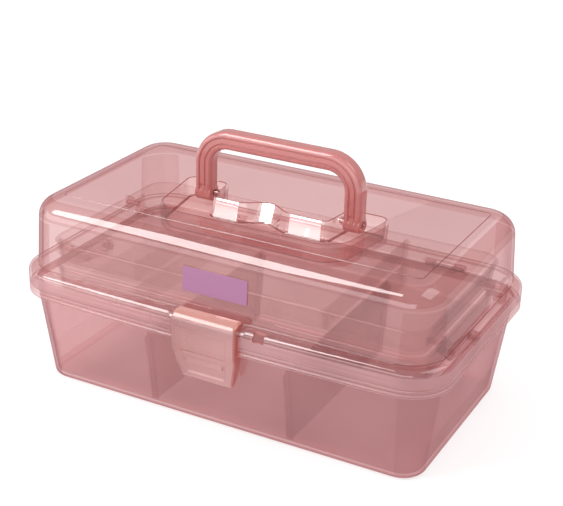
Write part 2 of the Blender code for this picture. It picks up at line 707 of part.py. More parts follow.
def make_pins(material, steel):
    """Every hinge, latch, handle, arm and tray pin."""
    reach = KNUCKLE_END - 0.2 * MM
    latch_reach = LUG_END - 0.8 * MM
    make_pin("latch_pin", -latch_reach, latch_reach, LATCH_Y, LATCH_Z, LATCH_PIN_RADIUS, steel)
    for side, word, middle in ((-1, "left", HINGE_MIDDLES[0]), (1, "right", HINGE_MIDDLES[1])):
        ends = (middle - reach, middle + reach)
        make_pin("hinge_pin_" + word, *ends, HINGE_Y, HINGE_Z, HINGE_PIN_RADIUS, steel)
        ends = (side * (HANDLE_HALF + 1.5 * MM), side * 49.4 * MM)
        make_pin("handle_pin_" + word, *ends, HANDLE_Y, HANDLE_Z, HANDLE_PIN_RADIUS, material, 3 * MM)
        ends = (side * (ARM_FACES[0] - 1.4 * MM), side * (ARM_FACES[1] + 4 * MM))
        make_pin("arm_pin_" + word, *ends, *arm_pivot(), PIVOT_RADIUS, material, PIN_HEAD)
        for tray, (_, _, (y, z)) in TRAYS.items():
            ends = (side * (TRAY[0] - 5.6 * MM), side * (LID_BOSS[0] + 4.9 * MM))
            make_pin(f"{tray}_lid_pin_{word}", *ends, y, z, PIVOT_RADIUS, material, PIN_HEAD)
            ends = (side * (TRAY[0] - 6.8 * MM), side * (ARM_FACES[1] + 1 * MM))
            twin = (y + ARM_SHIFT[0], z + ARM_SHIFT[1])
            make_pin(f"{tray}_arm_pin_{word}", *ends, *twin, PIVOT_RADIUS, material, PIN_HEAD)


def main():
    """Build the whole box."""
    clear_scene()
    pink = plastic("clear_pink", (0.80, 0.36, 0.36), 0.16, alpha=0.55)
    deep_pink = plastic("handle_pink", (0.72, 0.24, 0.24), 0.18, alpha=0.8)
    lilac = plastic("label_lilac", (0.58, 0.33, 0.62), 0.45)
    steel = plastic("pin_steel", (0.62, 0.62, 0.63), 0.3, metallic=1.0)
    make_tub(pink.copy())
    make_tub_divider("base_divider_left", -TUB_DIVIDER_X, pink.copy())
    make_tub_divider("base_divider_right", TUB_DIVIDER_X, pink.copy())
    make_lid(pink.copy())
    make_label(lilac)
    make_handle(deep_pink.copy())
    make_latch(deep_pink.copy())
    for tray in TRAYS:
        make_tray(tray, pink.copy())
        make_tray_divider(tray + "_divider_left", tray, -TRAY_DIVIDER_X, pink.copy())
        make_tray_divider(tray + "_divider_right", tray, TRAY_DIVIDER_X, pink.copy())
    make_arm("support_arm_left", -1, pink.copy())
    make_arm("support_arm_right", 1, pink.copy())
    make_pins(deep_pink, steel)


main()
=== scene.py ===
"""Art supply box: the looks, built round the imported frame.

Metres, +Z up, the latch at -Y and the hinges at +Y, as in the CAD. Every shell here keeps the
outline of the CAD solid that it stands for, with finer curves, rounded edges and moulded detail.
"""
from math import atan2, cos, pi, radians, sin, sqrt, tan

import bmesh
import bpy
from mathutils import Matrix, Vector


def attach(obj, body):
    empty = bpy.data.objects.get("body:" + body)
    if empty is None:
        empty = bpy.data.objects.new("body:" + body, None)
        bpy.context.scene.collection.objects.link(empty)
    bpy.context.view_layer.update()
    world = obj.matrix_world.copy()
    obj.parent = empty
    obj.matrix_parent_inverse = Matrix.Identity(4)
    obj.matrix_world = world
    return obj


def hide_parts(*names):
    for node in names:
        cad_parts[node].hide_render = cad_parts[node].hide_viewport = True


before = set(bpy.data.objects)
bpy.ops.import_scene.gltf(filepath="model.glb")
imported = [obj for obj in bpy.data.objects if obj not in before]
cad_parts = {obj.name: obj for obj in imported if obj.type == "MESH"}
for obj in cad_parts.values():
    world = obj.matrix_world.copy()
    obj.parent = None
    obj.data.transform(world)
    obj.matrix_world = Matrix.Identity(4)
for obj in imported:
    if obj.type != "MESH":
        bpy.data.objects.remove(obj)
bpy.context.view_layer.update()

MM = 0.001
GAP = 0.3 * MM


def mm(*sizes):
    """Sizes in millimetres, in metres."""
    return tuple(size * MM for size in sizes)


# The case, as in the CAD. A case size is (half length, half depth, corner radius).
RIM = mm(165, 93.2, 29)
RIM_BOW = 4.2 * MM
WALL_BOW = 1.0 * MM
WALL = 2.2 * MM
TUB_FOOT = mm(150.5, 79.5, 18)
TUB_WALL_TOP = mm(159.4, 88.4, 25)
TUB_WALL_TOP_Z = 73.8 * MM
TUB_FLOOR = 2.6 * MM
PART_Z = 76 * MM
BAND_LOW_Z = 70 * MM
TONGUE_Z = 79.5 * MM
FLANGE_TOP_Z = 90 * MM
LID_WALL_FOOT = mm(158.9, 87.3, 26)
LID_WALL_HEAD = mm(157.0, 85.3, 24)
LID_TOP_Z = 140.5 * MM
LID_CEILING_Z = 138.4 * MM
LID_EDGE_RADIUS = 14.5 * MM
PANEL = mm(138.6, 63.2, 3.2)
PANEL_RISE = 0.8 * MM
PADLOCK_NOTCH = (mm(36, -99, 83.6), mm(44.5, -92.6, 92))

HINGE_Y = 97.6 * MM
HINGE_Z = PART_Z
HINGE_MIDDLES = mm(-95, 95)
KNUCKLE_RADIUS = 4.2 * MM
KNUCKLE_GAP = 0.4 * MM
KNUCKLE_HALF = 8 * MM
KNUCKLE_END = 16 * MM
HINGE_PIN_RADIUS = 1.5 * MM

LATCH_Y = -95 * MM
LATCH_Z = 86.2 * MM
LATCH_HALF = 24.6 * MM
LATCH_BARREL = 6.4 * MM
LATCH_PIN_RADIUS = 1.4 * MM
LATCH_FACE_Y = -101.8 * MM
LATCH_FOOT_Z = 43.5 * MM
LATCH_BEND_Z = 70 * MM  # below this height the face leans inwards
LATCH_THICK = 2.6 * MM
LATCH_LEDGES = mm(64, 56.5)
LUG_END = 29.5 * MM

HANDLE_Y = 4 * MM
HANDLE_Z = 137.5 * MM
HANDLE_HALF = 66.6 * MM
HANDLE_BAR = mm(13.4, 13)  # across, and front to back
HANDLE_TOP_Z = 187.4 * MM
HANDLE_CORNER = 27 * MM
HANDLE_GROOVE = mm(2.2, 0.8, 1.0)  # distance from the middle, half width, depth
HANDLE_PIN_RADIUS = 1.8 * MM
WELL_HALF = 81 * MM
WELL_Y = mm(-47.6, 17.5)
WELL_FLOOR_Z = 126 * MM
WELL_WALL = 2 * MM
WELL_DRAFT = 0.8 * MM
TONGUE_HALF = 46 * MM
TONGUE_FRONT_Y = mm(-11.2, -14.6)  # at the well's rim and at its floor
FINGER_NOTCH = mm(-4, 21.5)  # middle and half width of the scoop in the tongue
FINGER_NOTCH_DEPTH = mm(10, 7.7)
TONGUE_POLISH = (mm(-46, -24), mm(-9.6, 0), mm(6, 7.5), mm(17, 39))  # where its wall mirrors light

TRAY = mm(148, 74, 16)
TRAY_WALL = 1.6 * MM
TRAYS = {  # the heights of foot and rim, and the pivot on the lid in y and z
    "lower_tray": (65 * MM, 87.2 * MM, mm(57, 83)),
    "upper_tray": (88.2 * MM, 106.5 * MM, mm(37, 98.5)),
}
ARM_SHIFT = mm(-90, -5)  # from a tray's pivot on the lid to the one on the arm
ARM_FACES = mm(149.8, 152.2)
ARM_HALF_WIDTH = 5.5 * MM
PIVOT_RADIUS = 1.6 * MM
PIN_HEAD = mm(2.4, 4.5)  # radius, and how far inside the tray's end its back lies
BOSS_RADIUS = 4.5 * MM
TRAY_DIVIDER_X = 74 * MM
TUB_DIVIDER_X = 55 * MM
TUB_DIVIDER_TOP = 61 * MM
DIVIDER_THICK = 1.8 * MM
LABEL_SIZE = mm(50, 17.6, 0.5)
LABEL_MIDDLE = mm(1.5, 112.6)

CORNER_STEPS = 14
LONG_STEPS = 26
ROUND_STEPS = 48
ROUND_TURNS = [2 * pi * step / ROUND_STEPS for step in range(ROUND_STEPS)]

# The view: where the camera looks, from how far, and how it leans.
CAMERA_AZIMUTH = radians(27.56)
CAMERA_ELEVATION = radians(23.89)
CAMERA_ROLL = radians(1.48)
CAMERA_DISTANCE = 949.5 * MM
CAMERA_TARGET = Vector((5.44 * MM, 0, 103.97 * MM))
CAMERA_LENS = 84.27  # mm, on a sensor 36 mm wide
FLOOR_PAINT = 0.35
FLOOR_GLOW = (0.36, 0.68)  # the light from within the table, under the box and round it; the lower glow under the box is a painted shadow
LAMPS = {  # azimuth and elevation in degrees, width and height in metres, power
    "key": (-40, 43.5, (0.8, 0.85), 15),
    "right": (105, 50, (1.3, 0.9), 6),
}
LAMP_AIM = Vector((0, 0, 0.1))
LAMP_DISTANCE = 1.6
ROOM_GLOW = 0.85
BRIGHT_WALL = (Vector((-0.36, -0.91, 0.2)), 2.0)  # where it lies, and how much it adds

# The see-through plastics: tint, deep tint, milk, haze, gloss, mirror, edge power.
CLEAR = {
    "lid": ((0.955, 0.875, 0.87), (0.90, 0.775, 0.775), (0.84, 0.56, 0.57), 0.035, 0.05, 0.08, 3.0),
    "lid_inner": ((0.95, 0.865, 0.86), (0.90, 0.775, 0.775), (0.84, 0.56, 0.57), 0.035, 0.05, 0.03, 0),
    "lid_corner": ((0.91, 0.75, 0.745), (0.83, 0.60, 0.60), (0.84, 0.56, 0.57), 0.035, 0.05, 0.08, 1.4),
    "tub": ((0.94, 0.825, 0.825), (0.87, 0.70, 0.705), (0.84, 0.54, 0.56), 0.16, 0.12, 0.06, 3.0),
    "tub_inner": ((0.945, 0.83, 0.83), (0.87, 0.69, 0.695), (0.84, 0.55, 0.57), 0.12, 0.12, 0.03, 0),
    "tub_corner": ((0.91, 0.77, 0.77), (0.82, 0.62, 0.63), (0.84, 0.53, 0.55), 0.16, 0.12, 0.06, 1.4),
    "foot": ((0.87, 0.62, 0.63), (0.79, 0.53, 0.54), (0.84, 0.53, 0.55), 0.14, 0.12, 0.04, 1.4),
    "divider": ((0.93, 0.82, 0.82), (0.85, 0.70, 0.70), (0.80, 0.50, 0.52), 0.06, 0.12, 0.06, 3.0),
    "tray": ((0.99, 0.97, 0.965), (0.965, 0.90, 0.90), (0.88, 0.63, 0.63), 0.025, 0.12, 0.06, 3.0),
    "line": ((0.56, 0.30, 0.30), (0.45, 0.22, 0.22), (0.50, 0.22, 0.22), 0.25, 0.1, 0.06, 3.0),
    "well": ((0.97, 0.88, 0.86), (0.95, 0.82, 0.80), (0.95, 0.68, 0.65), 0.36, 0.35, 0.02, 0),
    "mirror": ((0.94, 0.82, 0.82), (0.88, 0.74, 0.74), (0.84, 0.50, 0.49), 0.05, 0.03, 0.9, 3.0),
    # painted highlight: a lighter, milkier plastic for the rounded edges that catch the light
    "painted_highlight_edge": ((0.95, 0.87, 0.87), (0.90, 0.80, 0.80), (0.92, 0.74, 0.73), 0.3, 0.1, 0.05, 3.0),
    "band": ((0.95, 0.86, 0.86), (0.90, 0.78, 0.78), (0.92, 0.68, 0.70), 0.30, 0.08, 0.05, 3.0),
    "latch": ((0.92, 0.74, 0.73), (0.86, 0.62, 0.61), (0.94, 0.67, 0.66), 0.32, 0.06, 0.09, 3.0),
}
# The thick plastics: tint, gloss, how much bends the light, how much lets it through unbent.
THICK = {
    "flank": ((0.70, 0.27, 0.24), 0.08, 0.5, 0.2),
    "bend": ((0.86, 0.46, 0.39), 0.08, 0.35, 0.2),
    "bail": ((0.72, 0.27, 0.255), 0.05, 0.3, 0.15),
    "groove": ((0.74, 0.31, 0.30), 0.08, 0.25, 0.15),
}


# ---------------------------------------------------------------- mesh tools


def loft(loops):
    """A closed body through loops of equal length, capped at both ends."""
    body = bmesh.new()
    rings = [[body.verts.new(point) for point in loop] for loop in loops]
    for lower, upper in zip(rings, rings[1:]):
        for here in range(len(lower)):
            there = (here + 1) % len(lower)
            body.faces.new((lower[here], lower[there], upper[there], upper[here]))
    body.faces.new(list(reversed(rings[0])))
    body.faces.new(rings[-1])
    bmesh.ops.recalc_face_normals(body, faces=body.faces)
    return body


def merge(bodies):
    """One bmesh that holds several separate closed bodies."""
    whole = bmesh.new()
    for body in bodies:
        part = bpy.data.meshes.new("part")
        body.to_mesh(part)
        body.free()
        whole.from_mesh(part)
        bpy.data.meshes.remove(part)
    return whole


def round_edges(body, offset, segments=2):
    """Round every edge of a body."""
    edges = list(body.edges)
    bmesh.ops.bevel(body, geom=edges, offset=offset, segments=segments, profile=0.5, affect="EDGES")


def soft_box(low, high, edge=0.4 * MM):
    """An upright box between two corners, with its edges rounded."""
    plan = ((low[0], low[1]), (high[0], low[1]), (high[0], high[1]), (low[0], high[1]))
    body = loft([[(x, y, z) for x, y in plan] for z in (low[2], high[2])])
    if edge:
        round_edges(body, edge)
    return body


def rounded_ends(start_x, end_x, edge):
    """Stations along X for a body with rounded rims: the place, and how far its outline is drawn in."""
    return (
        (start_x, edge), (start_x + 0.3 * edge, 0.3 * edge), (start_x + edge, 0),
        (end_x - edge, 0), (end_x - 0.3 * edge, 0.3 * edge), (end_x, edge),
    )


def rod(start_x, end_x, y, z, radius, edge=0.0):
    """A cylinder along X; edge rounds its two rims."""
    start_x, end_x = sorted((start_x, end_x))
    profile = [(start_x, radius), (end_x, radius)]
    if edge:
        profile = [(x, radius - inset) for x, inset in rounded_ends(start_x, end_x, edge)]
    return loft([
        [(x, y + size * cos(turn), z + size * sin(turn)) for turn in ROUND_TURNS]
        for x, size in profile
    ])


def rounded_loop(half_x, half_y, corner, z, bow=0.0):
    """A rounded rectangle whose long sides swell outwards by bow at mid length."""
    points = []
    for quarter, (side_x, side_y) in enumerate(((1, 1), (-1, 1), (-1, -1), (1, -1))):
        centre = (side_x * (half_x - corner), side_y * (half_y - corner))
        for step in range(CORNER_STEPS + 1):
            turn = pi / 2 * (quarter + step / CORNER_STEPS)
            points.append((centre[0] + corner * cos(turn), centre[1] + corner * sin(turn)))
        if side_x == side_y:
            run = half_x - corner
            for step in range(1, LONG_STEPS):
                points.append((side_x * run * (1 - 2 * step / LONG_STEPS), side_y * half_y))
    return [(x, y + bow * (1 - (x / half_x) ** 2) * y / half_y, z) for x, y in points]


def ring(size, inset, z, bow=0.0):
    """A rounded loop of a given size (half length, half depth, corner), drawn in by inset."""
    return rounded_loop(*(value - inset for value in size), z, bow)


def rings(size, bow, *stations):
    """Rings of one size at several stations, each an inset and a height."""
    return [ring(size, inset, z, bow) for inset, z in stations]


def side_rods(start_x, end_x, y, z, radius, edge=0.0):
    """The same rod on the left and on the right."""
    return [rod(side * start_x, side * end_x, y, z, radius, edge) for side in (-1, 1)]


def arc(start, end, steps):
    """Sine and cosine pairs for steps + 1 turns between two angles in degrees."""
    turns = [radians(start + (end - start) * step / steps) for step in range(steps + 1)]
    return [(sin(turn), cos(turn)) for turn in turns]


def rounded_outline(corners, step_degrees=9):
    """The corners (x, y, radius) as a closed outline, each with an arc of its radius."""
    outline = []
    for index, (x, y, radius) in enumerate(corners):
        here = Vector((x, y))
        back = (Vector(corners[index - 1][:2]) - here).normalized()
        ahead = (Vector(corners[(index + 1) % len(corners)][:2]) - here).normalized()
        half_angle = back.angle(ahead) / 2
        bend = pi - 2 * half_angle
        if radius == 0 or bend < radians(1):
            outline.append((x, y))
            continue
        centre = here + (back + ahead).normalized() * radius / sin(half_angle)
        first = here + back * radius / tan(half_angle) - centre
        side = 1 if ahead.cross(back) > 0 else -1
        start = atan2(first.y, first.x)
        count = max(2, round(bend / radians(step_degrees)))
        for step in range(count + 1):
            turn = start + side * bend * step / count
            outline.append((centre.x + radius * cos(turn), centre.y + radius * sin(turn)))
    return outline


def grown(outline, distance):
    """The outline moved outwards along its own normals; the outline runs anticlockwise."""
    moved = []
    for index, (x, y) in enumerate(outline):
        before = Vector(outline[index - 1])
        after = Vector(outline[(index + 1) % len(outline)])
        along = (after - before).normalized()
        moved.append((x + along.y * distance, y - along.x * distance))
    return moved


def level(outline, z):
    """A plan outline as a loop at a height."""
    return [(x, y, z) for x, y in outline]


def smooth_step(low, high, value):
    """0 below low, 1 above high, and a smooth rise between them."""
    share = min(1.0, max(0.0, (value - low) / (high - low)))
    return share * share * (3 - 2 * share)


def piece(name, body, mesh_source, material, stands_for=(), sharp=30):
    """A finished piece of the object, riding on its CAD body."""
    mesh = bpy.data.meshes.new(name)
    mesh_source.to_mesh(mesh)
    mesh_source.free()
    mesh.shade_smooth()
    mesh.set_sharp_from_angle(angle=radians(sharp))
    mesh.materials.append(material)
    item = bpy.data.objects.new(name, mesh)
    bpy.context.collection.objects.link(item)
    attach(item, body)
    if stands_for:
        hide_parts(*stands_for)
    return item


def carve(item, body, operation):
    """Join a closed body to a piece, or cut it away, at once."""
    mesh = bpy.data.meshes.new("tool")
    body.to_mesh(mesh)
    body.free()
    mesh.shade_smooth()
    tool = bpy.data.objects.new("tool", mesh)
    bpy.context.collection.objects.link(tool)
    modifier = item.modifiers.new("carve", "BOOLEAN")
    modifier.operation = operation
    modifier.solver = "EXACT"
    modifier.object = tool
    view = bpy.context.evaluated_depsgraph_get()
    result = bpy.data.meshes.new_from_object(item.evaluated_get(view), depsgraph=view)
    old = item.data
    item.modifiers.remove(modifier)
    item.data = result
    bpy.data.objects.remove(tool)
    bpy.data.meshes.remove(mesh)
    bpy.data.meshes.remove(old)
    while len(result.materials) > 1:
        result.materials.pop()


def dress_faces(item, plastics, tests):
    """Give other plastics to faces: each test has its own, and a later test wins."""
    for name, test in tests.items():
        item.data.materials.append(plastics[name])
        last = len(item.data.materials) - 1
        for face in item.data.polygons:
            if test(face.center, face.normal):
                face.material_index = last


def finish_edges(item, width=0.0, sharp=30):
    """Round the sharp edges of a piece and even out the shading of its flat faces."""
    item.data.shade_smooth()
    item.data.set_sharp_from_angle(angle=radians(sharp))
    if width:
        bevel = item.modifiers.new("edges", "BEVEL")
        bevel.width = width
        bevel.segments = 2
        bevel.limit_method = "ANGLE"
        bevel.angle_limit = radians(sharp + 5)
        bevel.harden_normals = False
    even = item.modifiers.new("even", "WEIGHTED_NORMAL")
    even.keep_sharp = True
    even.weight = 60


# ---------------------------------------------------------------- materials


def add_node(tree, kind, values=None, **settings):
    """A shader node with its settings and its inputs; an input may be a socket to link from."""
    node = tree.nodes.new("ShaderNode" + kind)
    for key, value in settings.items():
        setattr(node, key, value)
    for key, value in (values or {}).items():
        if isinstance(value, bpy.types.NodeSocket):
            tree.links.new(value, node.inputs[key])
        else:
            node.inputs[key].default_value = value
    return node


def maths(tree, operation, *values):
    """The result of one Math node."""
    return add_node(tree, "Math", dict(enumerate(values)), operation=operation).outputs[0]


def mix_shaders(tree, share, first, second):
    """A shader between two shaders."""
    return add_node(tree, "MixShader", {0: share, 1: first, 2: second}).outputs[0]


def object_xyz(tree):
    """X, Y and Z in the object's own space."""
    place = add_node(tree, "TexCoord").outputs["Object"]
    return add_node(tree, "SeparateXYZ", {"Vector": place}).outputs


def smooth_range(tree, value, low, high):
    """0 to 1 while the value runs from low to high."""
    return add_node(tree, "MapRange", {
        "Value": value, "From Min": low, "From Max": high,
    }, interpolation_type="SMOOTHSTEP").outputs["Result"]


def blend_colours(tree, share, first, second):
    """A colour between two colours."""
    mix = add_node(tree, "Mix", {0: share}, data_type="RGBA")
    for socket, value in ((mix.inputs[6], first), (mix.inputs[7], second)):
        if isinstance(value, bpy.types.NodeSocket):
            tree.links.new(value, socket)
        else:
            socket.default_value = (*value, 1.0)
    return mix.outputs[2]


def cloud(tree, scale, detail=3.0, stretch=(1.0, 1.0, 1.0)):
    """A noise in the object's own space, stretched along its axes."""
    place = add_node(tree, "TexCoord").outputs["Object"]
    mapped = add_node(tree, "Mapping", {"Vector": place, "Scale": stretch})
    values = {"Vector": mapped.outputs[0], "Scale": scale, "Detail": detail}
    return add_node(tree, "TexNoise", values).outputs["Fac"]


def new_material(name):
    """An empty node material and its tree."""
    material = bpy.data.materials.new(name)
    material.use_nodes = True
    tree = material.node_tree
    tree.nodes.clear()
    return material, tree


def moulded_relief(tree, ripple):
    """The slight waviness of a moulded surface, as a bumped normal."""
    return add_node(tree, "Bump", {
        "Height": cloud(tree, 26, 2.0), "Strength": 1.0, "Distance": ripple,
    }).outputs[0]


def painted_falloff_shade(tree):
    """0 at the lid's left end, growing towards the tub's right front: a painted shade that deepens the tint
    where the light falls off.
    """
    place = object_xyz(tree)
    lean = maths(tree, "MULTIPLY_ADD", place["Z"], -1.2, place["X"])
    behind = maths(tree, "ADD", place["Y"], 93 * MM)
    return add_node(tree, "MapRange", {
        "Value": maths(tree, "SUBTRACT", lean, behind),
        "From Min": -110 * MM, "From Max": 100 * MM, "To Max": 0.8,
    }).outputs["Result"]


def clear_plastic(name, tint, deep, milk, haze, gloss, mirror, edge_power):
    """Tinted see-through plastic: it deepens at a slant and, as a painted shade, towards the right front;
    it is a little milky, and shines.

    The outer skin of a part deepens most at its edges, where the light runs along its wall.
    """
    material, tree = new_material(name)
    relief = moulded_relief(tree, 0.02 * MM)
    slant = add_node(tree, "LayerWeight", {"Blend": 0.5, "Normal": relief}).outputs["Facing"]
    flow = cloud(tree, 9, 3.0, (1.0, 1.6, 2.2))
    depth = maths(tree, "ADD", maths(tree, "POWER", slant, 2.2), maths(tree, "MULTIPLY", flow, 0.12))
    # painted shade: the tint deepens towards the tub's right front, where the light falls off
    depth = maths(tree, "ADD", depth, painted_falloff_shade(tree))
    colour = blend_colours(tree, depth, tint, deep)
    if edge_power:
        edge = (0.66 * deep[0], 0.5 * deep[1], 0.52 * deep[2])
        colour = blend_colours(tree, maths(tree, "POWER", slant, edge_power), colour, edge)
    through = add_node(tree, "BsdfTransparent", {"Color": colour}).outputs[0]

    milk_colour = blend_colours(tree, flow, milk, tuple(0.94 * value for value in milk))
    lit, glow = [
        add_node(tree, kind, {"Color": milk_colour, "Normal": relief}).outputs[0]
        for kind in ("BsdfDiffuse", "BsdfTranslucent")
    ]
    speck = maths(tree, "MULTIPLY", cloud(tree, 12, 2.0), 2 * haze)
    body = mix_shaders(tree, speck, through, mix_shaders(tree, 0.5, lit, glow))

    wear = cloud(tree, 140, 5.0, (1.0, 0.25, 1.0))
    roughness = maths(tree, "MULTIPLY_ADD", wear, gloss, 0.4 * gloss)
    shine = add_node(tree, "BsdfGlossy", {
        "Color": (1, 1, 1, 1), "Roughness": roughness, "Normal": relief,
    }).outputs[0]
    share = maths(tree, "MULTIPLY_ADD", maths(tree, "POWER", slant, 5.0), 0.12, mirror)
    inside = add_node(tree, "NewGeometry").outputs["Backfacing"]
    share = maths(tree, "MULTIPLY", share, maths(tree, "SUBTRACT", 1.0, inside))
    add_node(tree, "OutputMaterial", {"Surface": mix_shaders(tree, share, body, shine)})
    return material


def thick_plastic(name, tint, gloss, bending, clear):
    """Solid tinted plastic, as of the handle, which bends the light behind it."""
    material, tree = new_material(name)
    relief = moulded_relief(tree, 0.03 * MM)
    flow = cloud(tree, 16, 3.0, (2.0, 1.0, 1.0))
    colour = blend_colours(tree, flow, tint, tuple(0.9 * value for value in tint))
    wear = cloud(tree, 160, 5.0, (0.3, 1.0, 1.0))
    roughness = maths(tree, "MULTIPLY_ADD", wear, gloss, 0.5 * gloss)
    solid = add_node(tree, "BsdfPrincipled", {
        "Base Color": colour, "Roughness": roughness, "Normal": relief,
        "IOR": 1.45, "Transmission Weight": bending,
        "Coat Weight": 1.0, "Coat Roughness": 0.04, "Coat IOR": 1.55,
    }).outputs[0]
    through = add_node(tree, "BsdfTransparent", {"Color": colour}).outputs[0]
    add_node(tree, "OutputMaterial", {"Surface": mix_shaders(tree, clear, solid, through)})
    return material


def label_film(name):
    """A lilac sticker of satin film, with a faint grain."""
    material, tree = new_material(name)
    mottle = cloud(tree, 240, 4.0)
    colour = blend_colours(tree, mottle, (0.335, 0.14, 0.255), (0.375, 0.16, 0.29))
    roughness = maths(tree, "MULTIPLY_ADD", cloud(tree, 500, 3.0), 0.2, 0.32)
    relief = add_node(tree, "Bump", {"Height": mottle, "Strength": 0.3, "Distance": 0.02 * MM})
    film = add_node(tree, "BsdfPrincipled", {
        "Base Color": colour, "Roughness": roughness, "Normal": relief.outputs[0],
    })
    add_node(tree, "OutputMaterial", {"Surface": film.outputs[0]})
    return material


def drawn_steel(name):
    """Steel wire with drawing marks along X."""
    material, tree = new_material(name)
    marks = cloud(tree, 900, 3.0, (0.05, 1.0, 1.0))
    colour = blend_colours(tree, marks, (0.52, 0.52, 0.54), (0.72, 0.72, 0.73))
    roughness = maths(tree, "MULTIPLY_ADD", marks, 0.2, 0.22)
    relief = add_node(tree, "Bump", {"Height": marks, "Strength": 0.4, "Distance": 0.02 * MM})
    steel = add_node(tree, "BsdfPrincipled", {
        "Base Color": colour, "Metallic": 1.0, "Roughness": roughness, "Normal": relief.outputs[0],
    })
    add_node(tree, "OutputMaterial", {"Surface": steel.outputs[0]})
    return material


# ---------------------------------------------------------------- camera, floor, light


def make_camera():
    """The camera at the photograph's angle."""
    back = Vector((
        sin(CAMERA_AZIMUTH) * cos(CAMERA_ELEVATION),
        -cos(CAMERA_AZIMUTH) * cos(CAMERA_ELEVATION),
        sin(CAMERA_ELEVATION),
    ))
    right = Vector((cos(CAMERA_AZIMUTH), sin(CAMERA_AZIMUTH), 0))
    up = back.cross(right)
    across = cos(CAMERA_ROLL) * right + sin(CAMERA_ROLL) * up
    upward = cos(CAMERA_ROLL) * up - sin(CAMERA_ROLL) * right
    lens = bpy.data.cameras.new("camera")
    lens.sensor_width = 36
    lens.lens = CAMERA_LENS
    camera = bpy.data.objects.new("camera", lens)
    place = CAMERA_TARGET + back * CAMERA_DISTANCE
    turn = Matrix((across, upward, back)).transposed()
    camera.matrix_world = Matrix.Translation(place) @ turn.to_4x4()
    bpy.context.collection.objects.link(camera)
    bpy.context.scene.camera = camera


def make_floor():
    """A white lit table that glows less where the box stands, a painted shadow, and that is open to a view
    from below.
    """
    body = bmesh.new()
    bmesh.ops.create_circle(body, cap_ends=True, segments=64, radius=9.0)
    mesh = bpy.data.meshes.new("floor")
    body.to_mesh(mesh)
    body.free()
    floor = bpy.data.objects.new("floor", mesh)
    floor.location.z = -0.1 * MM
    bpy.context.collection.objects.link(floor)
    material, tree = new_material("floor_white")
    place = object_xyz(tree)
    reach = [maths(tree, "DIVIDE", maths(tree, "ABSOLUTE", place[axis]), TUB_FOOT[axis]) for axis in (0, 1)]
    # painted shadow: the table glows less under the box than round it
    beside = smooth_range(tree, maths(tree, "MAXIMUM", *reach), 0.72, 1.04)
    paint = add_node(tree, "BsdfDiffuse", {"Color": [FLOOR_PAINT] * 3 + [1]}).outputs[0]
    glow = maths(tree, "MULTIPLY_ADD", beside, FLOOR_GLOW[1] - FLOOR_GLOW[0], FLOOR_GLOW[0])
    lamp = add_node(tree, "Emission", {"Color": (1, 1, 1, 1), "Strength": glow}).outputs[0]
    table = add_node(tree, "AddShader", {0: paint, 1: lamp}).outputs[0]
    nothing = add_node(tree, "BsdfTransparent").outputs[0]
    behind = add_node(tree, "NewGeometry").outputs["Backfacing"]
    add_node(tree, "OutputMaterial", {"Surface": mix_shaders(tree, behind, table, nothing)})
    material.cycles.emission_sampling = "NONE"  # the table is too wide to be sampled as a lamp
    mesh.materials.append(material)


def softbox(name, azimuth, elevation, size, power):
    """An area light on a sphere round the box, facing it."""
    turn, rise = radians(azimuth), radians(elevation)
    out = Vector((sin(turn) * cos(rise), -cos(turn) * cos(rise), sin(rise)))
    lamp = bpy.data.lights.new(name, "AREA")
    lamp.shape = "RECTANGLE"
    lamp.size, lamp.size_y = size
    lamp.energy = power
    item = bpy.data.objects.new(name, lamp)
    item.location = LAMP_AIM + out * LAMP_DISTANCE
    item.rotation_euler = out.to_track_quat("Z", "Y").to_euler()
    item.visible_camera = False
    bpy.context.collection.objects.link(item)


def make_light():
    """A white room and softboxes; reflections see the room dimmer, with a bright wall low in front."""
    world = bpy.data.worlds.new("room")
    world.use_nodes = True
    tree = world.node_tree
    tree.nodes.clear()
    ahead, strength_ahead = BRIGHT_WALL
    way = add_node(tree, "TexCoord").outputs["Generated"]
    facing = add_node(tree, "VectorMath", {0: way, 1: ahead}, operation="DOT_PRODUCT")
    in_front = smooth_range(tree, facing.outputs["Value"], 0.55, 0.66)
    height = add_node(tree, "SeparateXYZ", {"Vector": way}).outputs["Z"]
    low = smooth_range(tree, height, 0.42, 0.3)
    wall = maths(tree, "MULTIPLY", in_front, low)
    mirrored = maths(tree, "MULTIPLY_ADD", wall, strength_ahead, -0.35)
    shining = add_node(tree, "LightPath").outputs["Is Glossy Ray"]
    strength = maths(tree, "MULTIPLY_ADD", shining, mirrored, ROOM_GLOW)
    sky = add_node(tree, "Background", {"Color": (1, 1, 1, 1), "Strength": strength})
    add_node(tree, "OutputWorld", {"Surface": sky.outputs[0]})
    bpy.context.scene.world = world
    for name, values in LAMPS.items():
        softbox(name, *values)


# ---------------------------------------------------------------- tub


def tub_wall_inside(z):
    """Half depth of the tub's inside at a height, on its long walls."""
    foot_y = TUB_FOOT[1] - WALL
    slope = (TUB_WALL_TOP[1] - TUB_FOOT[1]) / (TUB_WALL_TOP_Z - 4 * MM)
    return foot_y + (z - TUB_FLOOR - 2 * MM) * slope


